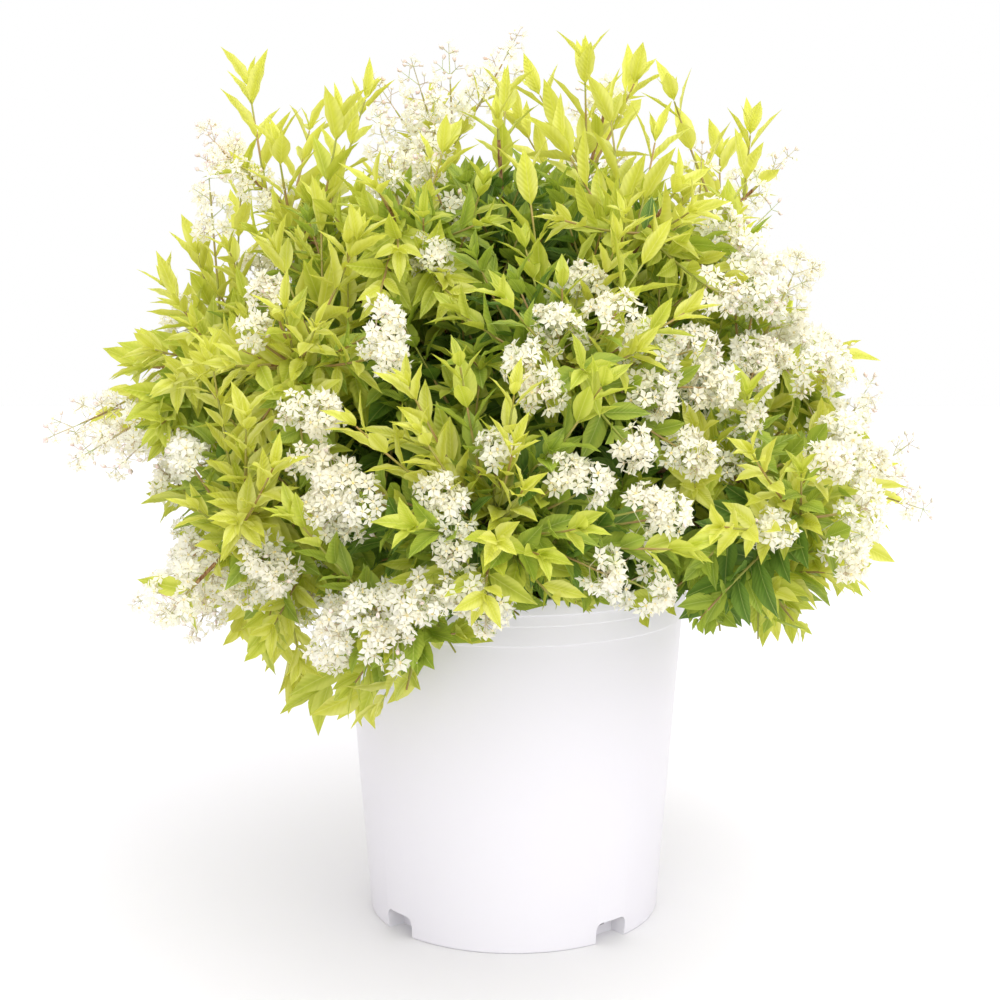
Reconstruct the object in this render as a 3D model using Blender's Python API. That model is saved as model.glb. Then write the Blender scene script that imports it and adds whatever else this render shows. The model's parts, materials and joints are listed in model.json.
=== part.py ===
"""A deutzia shrub in blossom, growing in a white nursery pot.

Many thin canes rise from one low root crown and arch out over the pot's rim.
The bare foot of a cane is a bough, one tapering limb.
Where the cane comes into leaf it is the stem of one mass of foliage.
That stem carries side twigs in opposite pairs, each pair at a right angle to the last.
A side twig ends in leaves, or in a panicle of blossom.

Metres, +Z up, +X to the right and -Y to the front.
The origin is the middle of the pot's flat underside.
"""

import math
import random
from collections import namedtuple

import bmesh
import bpy
import numpy as np
from mathutils import Quaternion, Vector
from mathutils.bvhtree import BVHTree

# The pot, a moulded ten litre container
POT_HEIGHT = 0.250
POT_FOOT_RADIUS = 0.1045
POT_RIM_RADIUS = 0.1260
POT_WALL = 0.0024
POT_FLOOR = 0.0030
POT_SIDES = 36
POT_TURN = math.radians(-50)
COLLAR_HEIGHT = 0.0325
BAND_HEIGHT = 0.0190
LIP_HEIGHT = 0.0115
COLLAR_STEP = 0.0012
BAND_STEP = 0.0006
LIP_STEP = 0.0009
LIP_ROUND = 0.0015
NOTCH_COUNT = 4
NOTCH_WIDTH = 0.027
NOTCH_HEIGHT = 0.015
NOTCH_DEPTH = 0.014
NOTCH_ROUND = 0.005
DRAIN_WIDTH = 0.013
DRAIN_HEIGHT = 0.006

# The potting mix and the root crown on it
CLEAR = 0.0003
SOIL_BELOW_RIM = 0.027
SOIL_FLAT_RADIUS = 0.050
SOIL_FALL = 0.004
CROWN_RADIUS = 0.034
CROWN_SIDES = 14
CROWN_RINGS = 4
CROWN_FLARE = 0.004

# The canes
CANE_FOOT_RADIUS = 0.0027
CANE_TIP_RADIUS = 0.0012
BOUGH_SIDES = 5
BOUGH_RINGS = 4
STEM_RINGS = 4
STEM_SIDES = 4
REACH_WOBBLE = 0.05
TURN_WOBBLE = 5.0

# A tier of canes, from the root crown: the azimuth of the first, and the elevation and reach of their tips.
# out and lift say how far out and how high the arch is pulled, leaf_from is the share of a cane that is bare.
# foot is the elevation on the root crown's dome where they start.
Tier = namedtuple("Tier", "name canes azimuth elevation reach out lift leaf_from foot")
TIERS = (
    Tier("top", 3, 262.0, 79.0, 0.338, 0.34, 0.200, 0.34, 79.0),
    Tier("leader", 6, 4.0, 60.0, 0.335, 0.36, 0.190, 0.32, 61.0),
    Tier("shoulder", 7, 181.0, 39.0, 0.280, 0.40, 0.180, 0.32, 47.0),
    Tier("side", 7, 13.0, 18.0, 0.250, 0.46, 0.160, 0.34, 36.0),
    Tier("skirt", 5, 38.0, 7.0, 0.200, 0.54, 0.130, 0.40, 25.0),
)
# Canes that leave their tier: their share of its reach, and the degrees that they rise over it
OWN_WAY = {
    "leader_1": (1.02, 0.0),
    "leader_4": (1.05, -1.0),
    "side_1": (1.04, -5.0),
    "side_4": (1.26, 12.0),
    "side_5": (1.10, -8.0),
    "skirt_4": (1.04, -6.0),
}

# The side twigs, in pairs, and the leaf pairs on the cane between them
PAIRS = 4
PAIR_TURN = 90.0
TWIG_PAIR_AT = 0.40
LEAF_PAIR_AT = 0.95
FIRST_TURN = (20.0, 70.0)
TURN_OF_TWIG_WOBBLE = 12.0
TWIG_LENGTH = 0.054
TWIG_SHORTENS = 0.30
TWIG_LENGTH_WOBBLE = 0.14
TWIG_ANGLE_FOOT = 62.0
TWIG_ANGLE_TIP = 38.0
TWIG_LIFT = 0.30
TWIG_FOOT_RADIUS = 0.0015
TWIG_TIP_RADIUS = 0.0011

# Leaves and blossom, larger than life because they are fewer
LEAF_LENGTH = 0.072
LEAF_WIDTH = 0.0290
SIZES = (1.1, 0.92, 0.76)
LEAF_WIDEST = 0.40
LEAF_FOLD = 0.0026
LEAF_ROOT = 0.0005
LEAF_SAG = 0.05
LEAF_SPLAY = 44.0
SPLAY_AT_CANE_FOOT = 1.30
SPLAY_LOST_TO_TIP = 0.65
LEAVES_UP_TWIG = 0.50
LEAVES_UNDER_PANICLE = 0.62
PANICLE_LENGTH = 0.058
PANICLE_RADIUS = 0.0190
PANICLE_SIDES = 6
PANICLE_RINGS = ((0.16, 0.62), (0.42, 1.0), (0.74, 0.66))
PANICLE_VALLEY = 0.58
BLOSSOM_SHARE = 0.42
TRIES = 2
SPACE_MARGIN = 0.0010
SPACE_STEPS = 6
LIMB_MARGIN = 0.0006

# Where the front of the crown is in blossom, seen from this eye: each patch's middle (x, z) and radius at y = 0
EYE = Vector((0.0, -1.25, 0.477))
FRONT_HALF = 0.02
BLOSSOM_PATCHES = (
    (-0.290, 0.350, 0.075), (-0.212, 0.530, 0.055), (-0.260, 0.235, 0.060), (-0.095, 0.418, 0.040),
    (-0.145, 0.365, 0.045), (-0.122, 0.295, 0.055), (-0.090, 0.215, 0.070), (-0.055, 0.560, 0.070),
    (-0.060, 0.482, 0.042), (0.054, 0.438, 0.055), (0.135, 0.368, 0.060), (0.020, 0.320, 0.030),
    (0.195, 0.430, 0.060), (0.235, 0.355, 0.075), (0.125, 0.300, 0.040), (0.048, 0.310, 0.036),
    (0.220, 0.272, 0.050), (-0.030, 0.240, 0.040), (0.085, 0.245, 0.036), (0.145, 0.490, 0.040),
)

SEED = 41


def clear_scene():
    for thing in list(bpy.data.objects):
        bpy.data.objects.remove(thing, do_unlink=True)


def finish(name, colour, roughness):
    made = bpy.data.materials.new(name)
    made.use_nodes = True
    shader = made.node_tree.nodes["Principled BSDF"]
    shader.inputs["Base Color"].default_value = (*colour, 1.0)
    shader.inputs["Roughness"].default_value = roughness
    shader.inputs["Metallic"].default_value = 0.0
    return made


def solid(name, points, faces, material=None):
    mesh = bpy.data.meshes.new(name)
    mesh.from_pydata([tuple(p) for p in points], [], faces)
    if material:
        mesh.materials.append(material)
    made = bpy.data.objects.new(name, mesh)
    bpy.context.scene.collection.objects.link(made)
    return made


def smooth(thing, sharp_over):
    """Smooth shading, with the edges left sharp whose faces turn by more than this many degrees."""
    thing.data.polygons.foreach_set("use_smooth", [True] * len(thing.data.polygons))
    thing.data.set_sharp_from_angle(angle=math.radians(sharp_over))


def turned(name, profile, sides, material):
    """A profile of (radius, height) points, spun about Z. Its first and last points are on the axis."""
    made = solid(name, [], [], material)
    work = bmesh.new()
    line = [work.verts.new((r, 0, z)) for r, z in profile]
    edges = [work.edges.new(pair) for pair in zip(line, line[1:])]
    bmesh.ops.spin(work, geom=line + edges, axis=(0, 0, 1), cent=(0, 0, 0), steps=sides, angle=math.tau)
    bmesh.ops.remove_doubles(work, verts=work.verts, dist=1e-6)
    bmesh.ops.recalc_face_normals(work, faces=work.faces)
    work.to_mesh(made.data)
    work.free()
    return made


def box(name, size, place, turn, rounding=0.0):
    """A box of size (out, across, up) whose middle is at place (out, up) and which is turned about Z."""
    made = solid(name, [], [])
    work = bmesh.new()
    bmesh.ops.create_cube(work, size=1.0)
    bmesh.ops.scale(work, vec=size, verts=work.verts)
    if rounding:
        high = [edge for edge in work.edges if all(corner.co.z > 0 for corner in edge.verts)]
        outward = [edge for edge in high if edge.verts[0].co.y * edge.verts[1].co.y > 0]
        bmesh.ops.bevel(work, geom=outward, offset=rounding, segments=2, affect="EDGES", profile=0.5)
    bmesh.ops.translate(work, vec=(place[0], 0, place[1]), verts=work.verts)
    bmesh.ops.rotate(work, matrix=Quaternion((0, 0, 1), turn).to_matrix(), verts=work.verts)
    bmesh.ops.recalc_face_normals(work, faces=work.faces)
    work.to_mesh(made.data)
    work.free()
    return made


def join_or_cut(target, others, operation):
    """One Boolean on a collection, applied, and the collection's objects removed."""
    group = bpy.data.collections.new("others")
    bpy.context.scene.collection.children.link(group)
    for other in others:
        bpy.context.scene.collection.objects.unlink(other)
        group.objects.link(other)
    cut = target.modifiers.new(operation.lower(), "BOOLEAN")
    cut.operation = operation
    cut.operand_type = "COLLECTION"
    cut.collection = group
    cut.solver = "EXACT"
    cut.material_mode = "TRANSFER"
    bpy.context.view_layer.update()
    evaluated = target.evaluated_get(bpy.context.evaluated_depsgraph_get())
    result = bpy.data.meshes.new_from_object(evaluated)
    target.modifiers.clear()
    target.data = result
    for other in others:
        bpy.data.objects.remove(other, do_unlink=True)
    bpy.data.collections.remove(group)


def keep_one_body(target):
    """Drops the loose scraps and the sealed hollows that a union leaves."""
    work = bmesh.new()
    work.from_mesh(target.data)
    bmesh.ops.triangulate(work, faces=work.faces)
    left = set(work.faces)
    bodies = []
    while left:
        front = [left.pop()]
        body = list(front)
        while front:
            for edge in front.pop().edges:
                for face in edge.link_faces:
                    if face in left:
                        left.remove(face)
                        front.append(face)
                        body.append(face)
        bodies.append(body)
    bodies.sort(key=len)
    for body in bodies[:-1]:
        bmesh.ops.delete(work, geom=body, context="FACES")
    work.to_mesh(target.data)
    work.free()


def wall_radius(z):
    slope = (POT_RIM_RADIUS - COLLAR_STEP - BAND_STEP - LIP_STEP - POT_FOOT_RADIUS) / POT_HEIGHT
    return POT_FOOT_RADIUS + slope * z


def notch_turns():
    return [POT_TURN + math.pi / 2 + math.tau * k / NOTCH_COUNT for k in range(NOTCH_COUNT)]


def notch_boxes(name, grow, reach_out):
    """The boxes of the four alcoves in the foot, each grown by grow on every side but the floor's."""
    deep = NOTCH_DEPTH + grow + reach_out
    middle = (POT_FOOT_RADIUS - NOTCH_DEPTH - grow + deep / 2, 0.0)
    size = (deep, NOTCH_WIDTH + 2 * grow, 2 * (NOTCH_HEIGHT + grow))
    return [box(name, size, middle, turn, NOTCH_ROUND) for turn in notch_turns()]


def pot(white):
    collar, band, lip = (POT_HEIGHT - h for h in (COLLAR_HEIGHT, BAND_HEIGHT, LIP_HEIGHT))
    at_collar = wall_radius(collar) + COLLAR_STEP
    at_band = wall_radius(band) + COLLAR_STEP + BAND_STEP
    inner = POT_RIM_RADIUS - LIP_STEP - BAND_STEP - COLLAR_STEP - POT_WALL
    profile = [
        (0.0, 0.0),
        (POT_FOOT_RADIUS - LIP_ROUND, 0.0),
        (POT_FOOT_RADIUS, LIP_ROUND),
        (wall_radius(collar), collar),
        (at_collar, collar + COLLAR_STEP / 2),
        (wall_radius(band) + COLLAR_STEP, band),
        (at_band, band + BAND_STEP),
        (wall_radius(lip) + COLLAR_STEP + BAND_STEP, lip),
        (POT_RIM_RADIUS, lip + LIP_STEP),
        (POT_RIM_RADIUS, POT_HEIGHT - LIP_ROUND),
        (POT_RIM_RADIUS - LIP_ROUND, POT_HEIGHT),
        (inner + LIP_ROUND / 2, POT_HEIGHT),
        (inner, POT_HEIGHT - LIP_ROUND),
        (POT_FOOT_RADIUS - POT_WALL, POT_FLOOR),
        (0.0, POT_FLOOR),
    ]
    made = turned("pot", profile, POT_SIDES, white)
    linings = notch_boxes("lining", POT_WALL, -POT_WALL)
    for lining in linings:
        for corner in lining.data.vertices:
            corner.co.z = max(corner.co.z, POT_FLOOR / 2)
    join_or_cut(made, linings, "UNION")
    alcoves = notch_boxes("alcove", 0.0, 2 * POT_WALL)
    drains = [
        box("drain", (2 * NOTCH_DEPTH, DRAIN_WIDTH, DRAIN_HEIGHT),
            (POT_FOOT_RADIUS - NOTCH_DEPTH, NOTCH_HEIGHT - DRAIN_HEIGHT), turn)
        for turn in notch_turns()
    ]
    join_or_cut(made, alcoves, "DIFFERENCE")
    join_or_cut(made, drains, "DIFFERENCE")
    keep_one_body(made)
    smooth(made, 30)
    return made


def soil_top():
    return POT_HEIGHT - SOIL_BELOW_RIM


def soil(brown):
    """The potting mix, a flat middle with a slight fall to the wall, cut clear of the alcoves."""
    def inside(z):
        foot = POT_FOOT_RADIUS - POT_WALL
        top = POT_RIM_RADIUS - LIP_STEP - BAND_STEP - COLLAR_STEP - POT_WALL
        return foot + (top - foot) * (z - POT_FLOOR) / (POT_HEIGHT - LIP_ROUND - POT_FLOOR) - CLEAR
    edge = soil_top() - SOIL_FALL
    floor = POT_FLOOR + CLEAR
    profile = [
        (0.0, floor),
        (inside(floor), floor),
        (inside(edge), edge),
        (SOIL_FLAT_RADIUS, soil_top()),
        (0.0, soil_top()),
    ]
    made = turned("soil", profile, POT_SIDES, brown)
    join_or_cut(made, notch_boxes("room", POT_WALL + CLEAR, POT_WALL), "DIFFERENCE")
    keep_one_body(made)
    return made


def root_crown(bark):
    """The knot of old wood that the canes rise from: a low dome with a flared foot, flat under."""
    foot = soil_top() + CLEAR
    profile = [(0.0, foot), (CROWN_RADIUS + CROWN_FLARE, foot)]
    for k in range(CROWN_RINGS):
        up = math.radians(90 * (k + 0.35) / CROWN_RINGS)
        profile.append((CROWN_RADIUS * math.cos(up), foot + CROWN_RADIUS * math.sin(up)))
    profile.append((0.0, foot + CROWN_RADIUS))
    made = turned("root_crown", profile, CROWN_SIDES, bark)
    smooth(made, 60)
    return made


def toward(azimuth, elevation):
    a, e = math.radians(azimuth), math.radians(elevation)
    return Vector((math.cos(a) * math.cos(e), math.sin(a) * math.cos(e), math.sin(e)))


class Cane:
    """One arching cane, a quadratic curve from the root crown to its tip."""

    def __init__(self, name, foot, foot_normal, bend, tip, leaf_from, seed):
        self.name = name
        self.foot_normal = foot_normal
        self.ends = (foot, bend, tip)
        self.leaf_from = leaf_from
        self.seed = seed

    def at(self, s):
        a, b, c = self.ends
        return a * (1 - s) ** 2 + b * (2 * s * (1 - s)) + c * s**2

    def along(self, s):
        a, b, c = self.ends
        return ((b - a) * (1 - s) + (c - b) * s).normalized()

    def radius(self, s):
        return CANE_FOOT_RADIUS + (CANE_TIP_RADIUS - CANE_FOOT_RADIUS) * s**0.8

    def step(self, distance, s):
        """The share of the curve that a distance takes up at s."""
        a, b, c = self.ends
        return distance / (2 * ((b - a) * (1 - s) + (c - b) * s).length)


def canes(crown):
    """Every cane, tier by tier, each with its foot on a face of the root crown."""
    middle = Vector((0, 0, soil_top() + 2 * CLEAR))
    surface = tree_of([shape_of(crown)])
    chance = random.Random(SEED)
    made = []
    for tier in TIERS:
        for k in range(tier.canes):
            name = f"{tier.name}_{k + 1}"
            azimuth = tier.azimuth + 360 * k / tier.canes + chance.uniform(-TURN_WOBBLE, TURN_WOBBLE)
            share, rise = OWN_WAY.get(name, (1.0, 0.0))
            far = tier.reach * share * (1 + chance.uniform(-REACH_WOBBLE, REACH_WOBBLE))
            tip = middle + toward(azimuth, tier.elevation + rise) * far
            bend = middle + Vector((tip.x * tier.out, tip.y * tier.out, tier.lift))
            foot, normal, _, _ = surface.ray_cast(middle, toward(azimuth, tier.foot))
            made.append(Cane(name, foot + normal * CLEAR, normal, bend, tip, tier.leaf_from, len(made)))
    return made


def tube(places, directions, radii, sides):
    """Points and faces of a closed tapering tube, with a ring square to each direction."""
    across = directions[0].orthogonal().normalized()
    points = []
    for place, direction, radius in zip(places, directions, radii):
        across = (across - direction * across.dot(direction)).normalized()
        aside = direction.cross(across)
        for k in range(sides):
            turn = math.tau * k / sides
            points.append(place + (across * math.cos(turn) + aside * math.sin(turn)) * radius)
    faces = [tuple(reversed(range(sides)))]
    for ring in range(len(places) - 1):
        for k in range(sides):
            low, high = ring * sides, (ring + 1) * sides
            after = (k + 1) % sides
            faces.append((low + k, low + after, high + after, high + k))
    last = (len(places) - 1) * sides
    faces.append(tuple(last + k for k in range(sides)))
    return points, faces


def bough_of(cane, grow=0.0):
    """The bare foot of a cane, its lowest ring square to the root crown's face."""
    shares = [cane.leaf_from * k / BOUGH_RINGS for k in range(BOUGH_RINGS + 1)]
    directions = [cane.foot_normal] + [cane.along(s) for s in shares[1:]]
    radii = [cane.radius(s) + grow for s in shares]
    return tube([cane.at(s) for s in shares], directions, radii, BOUGH_SIDES)


def stem_of(cane, grow=0.0):
    """The leafy rest of a cane, which starts a hair's breadth over its bough."""
    start = cane.leaf_from + cane.step(CLEAR, cane.leaf_from)
    shares = [start + (1 - start) * k / STEM_RINGS for k in range(STEM_RINGS + 1)]
    directions = [cane.along(s) for s in shares]
    radii = [cane.radius(s) + grow for s in shares]
    return tube([cane.at(s) for s in shares], directions, radii, STEM_SIDES)


def leaf(root, direction, up, size):
    """A leaf of eight faces, folded along its midrib, with a thick root to sink in its twig."""
    length = LEAF_LENGTH * size
    width = LEAF_WIDTH * size
    side = direction.cross(up).normalized()
    up = side.cross(direction).normalized()
    widest = root + direction * (length * LEAF_WIDEST) - up * (LEAF_FOLD / 2)
    points = [
        root + up * LEAF_ROOT,
        root - side * LEAF_ROOT - up * LEAF_ROOT,
        root + side * LEAF_ROOT - up * LEAF_ROOT,
        widest - side * (width / 2),
        widest + side * (width / 2),
        root + direction * length + up * (LEAF_FOLD - length * LEAF_SAG),
    ]
    faces = [(0, 5, 3), (0, 4, 5), (3, 5, 4), (0, 3, 1), (0, 2, 4), (1, 3, 4), (1, 4, 2), (0, 1, 2)]
    return points, faces


def panicle(root, direction, turn, size):
    """A cone of blossom, its rings notched like the open flowers."""
    across = Quaternion(direction, turn) @ direction.orthogonal().normalized()
    aside = direction.cross(across)
    points = [root - direction * (TWIG_TIP_RADIUS * 2)]
    for ring, (height, width) in enumerate(PANICLE_RINGS):
        for k in range(PANICLE_SIDES):
            spin = math.tau * (k + 0.5 * ring) / PANICLE_SIDES
            radius = PANICLE_RADIUS * size * width * (1.0 if k % 2 == ring % 2 else PANICLE_VALLEY)
            outward = across * math.cos(spin) + aside * math.sin(spin)
            points.append(root + direction * (PANICLE_LENGTH * size * height) + outward * radius)
    points.append(root + direction * (PANICLE_LENGTH * size))
    top = len(points) - 1
    faces = []
    for k in range(PANICLE_SIDES):
        after = (k + 1) % PANICLE_SIDES
        faces.append((0, 1 + after, 1 + k))
        for ring in range(len(PANICLE_RINGS) - 1):
            low, high = 1 + ring * PANICLE_SIDES, 1 + (ring + 1) * PANICLE_SIDES
            faces.append((low + k, low + after, high + k))
            faces.append((low + after, high + after, high + k))
        last = top - PANICLE_SIDES
        faces.append((last + k, last + after, top))
    return points, faces


def side_twigs(cane):
    """(foot, direction, length) of each side twig, in opposite pairs up the leafy part of the cane."""
    chance = random.Random(SEED * 100 + cane.seed)
    first_turn = chance.uniform(*FIRST_TURN)
    made = []
    for pair in range(PAIRS):
        share = (pair + TWIG_PAIR_AT) / PAIRS
        s = cane.leaf_from + (1 - cane.leaf_from) * share
        along = cane.along(s)
        across = along.cross(Vector((0, 0, 1)))
        across = across.normalized() if across.length > 0.05 else along.orthogonal().normalized()
        angle = math.radians(TWIG_ANGLE_FOOT + (TWIG_ANGLE_TIP - TWIG_ANGLE_FOOT) * share)
        for side in (0, 180):
            wobble = chance.uniform(-TURN_OF_TWIG_WOBBLE, TURN_OF_TWIG_WOBBLE)
            turn = math.radians(first_turn + PAIR_TURN * pair + side + wobble)
            outward = Quaternion(along, turn) @ across
            direction = along * math.cos(angle) + outward * math.sin(angle)
            direction = (direction + Vector((0, 0, TWIG_LIFT))).normalized()
            length = TWIG_LENGTH * (1 - TWIG_SHORTENS * share)
            length *= 1 + chance.uniform(-TWIG_LENGTH_WOBBLE, TWIG_LENGTH_WOBBLE)
            made.append((cane.at(s), direction, length))
    return made


def in_blossom(place, chance):
    """Whether a twig that ends here carries blossom: by the patches on the front, by chance behind."""
    drawn = chance.random()
    if place.y > FRONT_HALF:
        return drawn < BLOSSOM_SHARE
    nearer = -EYE.y / (place.y - EYE.y)
    x = place.x * nearer
    z = EYE.z + (place.z - EYE.z) * nearer
    return any(math.hypot(x - px, z - pz) < radius for px, pz, radius in BLOSSOM_PATCHES)


def leaves(root, direction, up):
    """One leaf, as the sizes that it may have, largest first."""
    return "leaf", [leaf(root, direction, up, size) for size in SIZES]


def blossom(tip, direction, turn):
    """One panicle at the tip of a twig, as the sizes that it may have, largest first."""
    root = tip - direction * (LEAF_ROOT * 2)
    return "blossom", [panicle(root, direction, turn, size) for size in SIZES]


def leaf_pair(root, along, spread, splay):
    """Two opposite leaves that rise from a twig on either side of it."""
    made = []
    for side in (1, -1):
        direction = along * math.cos(splay) + spread * (side * math.sin(splay))
        up = along * math.sin(splay) - spread * (side * math.cos(splay))
        made.append(leaves(root, direction.normalized(), up))
    return made


def twig_pieces(foot, direction, length, chance):
    """A side twig with its leaves, and its panicle where it is in blossom. The twig itself is first."""
    tip = foot + direction * length
    spread = Quaternion(direction, chance.uniform(0, math.pi)) @ direction.orthogonal().normalized()
    splay = math.radians(LEAF_SPLAY)
    twig = tube([foot, tip], [direction, direction], [TWIG_FOOT_RADIUS, TWIG_TIP_RADIUS], 3)
    if in_blossom(tip, chance):
        node = foot + direction * (length * LEAVES_UNDER_PANICLE)
        end = blossom(tip, direction, chance.uniform(0, math.tau))
    else:
        node = foot + direction * (length * LEAVES_UP_TWIG)
        end = leaves(tip - direction * (2 * LEAF_ROOT), direction, spread)
    return [("bark", [twig]), end] + leaf_pair(node, direction, spread, splay)


def stem_leaves(cane, chance):
    """Leaf pairs on the cane itself, one above each pair of twigs, and the panicle that may end it."""
    pieces = []
    tip = cane.at(1.0)
    if in_blossom(tip, chance):
        pieces.append(blossom(tip, cane.along(1.0), chance.uniform(0, math.tau)))
    for pair in range(PAIRS):
        share = (pair + LEAF_PAIR_AT) / PAIRS
        s = cane.leaf_from + (1 - cane.leaf_from) * share
        along = cane.along(s)
        wobble = chance.uniform(-TURN_OF_TWIG_WOBBLE, TURN_OF_TWIG_WOBBLE)
        turn = math.radians(PAIR_TURN * (pair + 0.5) + wobble)
        spread = Quaternion(along, turn) @ along.orthogonal().normalized()
        splay = math.radians(LEAF_SPLAY * (SPLAY_AT_CANE_FOOT - SPLAY_LOST_TO_TIP * share))
        pieces += leaf_pair(cane.at(s), along, spread, splay)
    return pieces


def samples(points, faces):
    """A piece's corners and the middles of its edges, as an array."""
    corners = np.array([tuple(p) for p in points])
    edges = {tuple(sorted(pair)) for f in faces for pair in zip(f, f[1:] + f[:1])}
    middles = np.array([(corners[a] + corners[b]) / 2 for a, b in edges])
    return np.vstack([corners, middles])


def distance_to_line(places, line):
    """The least distance of each place to a line of points."""
    best = np.full(len(places), np.inf)
    for a, b in zip(line, line[1:]):
        ab = b - a
        share = np.clip((places - a) @ ab / (ab @ ab), 0, 1)
        best = np.minimum(best, np.linalg.norm(places - a - share[:, None] * ab, axis=1))
    return best


class Spaces:
    """The space of each mass: the places that lie nearer to its stem than to any other."""

    def __init__(self, all_canes):
        self.lines = {}
        for cane in all_canes:
            shares = [cane.leaf_from + (1 - cane.leaf_from) * k / SPACE_STEPS for k in range(SPACE_STEPS + 1)]
            self.lines[cane.name] = np.array([tuple(cane.at(s)) for s in shares])

    def holds(self, name, piece):
        places = samples(*piece)
        own = distance_to_line(places, self.lines[name])
        near = [line for other, line in self.lines.items() if other != name]
        others = np.min([distance_to_line(places, line) for line in near], axis=0)
        return bool((own + 2 * SPACE_MARGIN < others).all())


def tree_of(shapes):
    points = []
    faces = []
    for shape_points, shape_faces in shapes:
        base = len(points)
        points += [Vector(p) for p in shape_points]
        faces += [tuple(base + i for i in f) for f in shape_faces]
    return BVHTree.FromPolygons(points, faces)


def shape_of(thing):
    return [v.co.copy() for v in thing.data.vertices], [tuple(p.vertices) for p in thing.data.polygons]


def group_under_one_empty(name):
    empty = bpy.data.objects.new(name, None)
    for thing in bpy.context.scene.collection.objects:
        thing.parent = empty
    bpy.context.scene.collection.objects.link(empty)


def foliage(cane, spaces, blocked, finishes):
    """One mass: the cane's leafy stem with its twigs, leaves and blossom fused on."""
    chance = random.Random(SEED * 1000 + cane.seed)
    stem = stem_of(cane)
    made = solid(f"foliage_{cane.name}", *stem, finishes["bark"])

    def settle(pieces, own):
        """Each piece in the largest of its sizes that fits the space and clears its own mass."""
        trees = blocked + [tree_of(own)]
        found = []
        for kind, shapes in pieces:
            for shape in shapes:
                tree = tree_of([shape])
                if spaces.holds(cane.name, shape) and not any(tree.overlap(other) for other in trees):
                    found.append((kind, shape))
                    break
        return found

    kept = []
    for foot, direction, length in side_twigs(cane):
        own = [shape for _, shape in kept]
        tries = []
        for _ in range(TRIES):
            twig, *carried = twig_pieces(foot, direction, length, chance)
            held = settle(carried, [stem] + own)
            bare = settle([twig], own)
            tries.append(bare + held if bare and held else [])
        kept += max(tries, key=len)
    kept += settle(stem_leaves(cane, chance), [shape for _, shape in kept])
    join_or_cut(made, [solid("piece", *shape, finishes[kind]) for kind, shape in kept], "UNION")
    keep_one_body(made)
    return [stem] + [shape for _, shape in kept]


def main():
    clear_scene()
    white = finish("white_plastic", (0.86, 0.85, 0.87), 0.38)
    brown = finish("potting_mix", (0.060, 0.038, 0.024), 0.95)
    bark = finish("young_bark", (0.30, 0.20, 0.10), 0.80)
    lime = finish("lime_foliage", (0.45, 0.60, 0.06), 0.45)
    cream = finish("white_blossom", (0.90, 0.88, 0.72), 0.70)
    holder = pot(white)
    mix = soil(brown)
    crown = root_crown(bark)
    all_canes = canes(crown)
    for cane in all_canes:
        smooth(solid(f"cane_{cane.name}", *bough_of(cane), bark), 50)
    boughs = [bough_of(cane, LIMB_MARGIN) for cane in all_canes]
    fixed = tree_of([shape_of(holder), shape_of(mix), shape_of(crown), *boughs])
    spaces = Spaces(all_canes)
    grown = []
    for cane in all_canes:
        other_stems = [stem_of(other, LIMB_MARGIN) for other in all_canes if other is not cane]
        blocked = [fixed, tree_of(other_stems + grown)]
        grown += foliage(cane, spaces, blocked, {"bark": bark, "leaf": lime, "blossom": cream})
    group_under_one_empty("potted_deutzia")


main()
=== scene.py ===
"""The looks of a potted deutzia shrub in full blossom, with lime foliage and a white nursery pot.

Metres, +Z up, +X to the right and -Y to the front. The origin is the middle of the pot's underside.
"""

import json
import math
import random
from collections import namedtuple

import bmesh
import bpy
import numpy as np
from mathutils import Matrix, Quaternion, Vector
from mathutils.bvhtree import BVHTree

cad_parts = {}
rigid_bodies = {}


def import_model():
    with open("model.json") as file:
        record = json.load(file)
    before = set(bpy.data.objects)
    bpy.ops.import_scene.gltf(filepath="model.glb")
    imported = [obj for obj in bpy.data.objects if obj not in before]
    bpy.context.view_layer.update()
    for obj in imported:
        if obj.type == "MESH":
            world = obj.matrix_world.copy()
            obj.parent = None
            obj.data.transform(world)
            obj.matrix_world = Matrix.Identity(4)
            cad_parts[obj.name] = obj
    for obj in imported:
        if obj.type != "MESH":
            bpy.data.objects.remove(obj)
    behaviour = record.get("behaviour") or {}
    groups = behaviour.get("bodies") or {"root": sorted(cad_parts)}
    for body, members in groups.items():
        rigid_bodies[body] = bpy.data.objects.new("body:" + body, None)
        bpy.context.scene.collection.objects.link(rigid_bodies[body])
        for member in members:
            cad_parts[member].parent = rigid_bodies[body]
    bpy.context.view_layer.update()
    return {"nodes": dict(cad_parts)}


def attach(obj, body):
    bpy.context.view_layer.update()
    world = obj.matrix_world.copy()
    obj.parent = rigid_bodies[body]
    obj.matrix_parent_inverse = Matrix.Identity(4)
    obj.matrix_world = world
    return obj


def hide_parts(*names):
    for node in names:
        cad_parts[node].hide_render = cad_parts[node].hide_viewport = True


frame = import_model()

# The studio: a white sweep under a white sky that is bright in front, behind and overhead, and dimmer and a little
# violet at both sides, with one softbox at the upper right. The camera stands 1.25 m off, over the crown's middle.
CAMERA_PLACE = (0.0, -1.248, 0.477)
CAMERA_DOWN = 8.195
CAMERA_SENSOR = 36.0
CAMERA_LENS = 63.48
CAMERA_SHIFT = -0.014
SKY_AROUND = 0.36
SKY_FORE_AND_AFT = 1.36
SKY_RIGHT_OVER_LEFT = 0.10
SKY_OVERHEAD = 1.14
SKY_TINTS = ("#FFFFFF", "#EADFF2")
SOFTBOX_SIZE = 1.5
SOFTBOX_PLACE = (0.75, -1.05, 1.75)
SOFTBOX_AIM = (0.0, 0.0, 0.35)
SOFTBOX_POWER = 14.0
SWEEP_SIZE = 8.0


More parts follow.
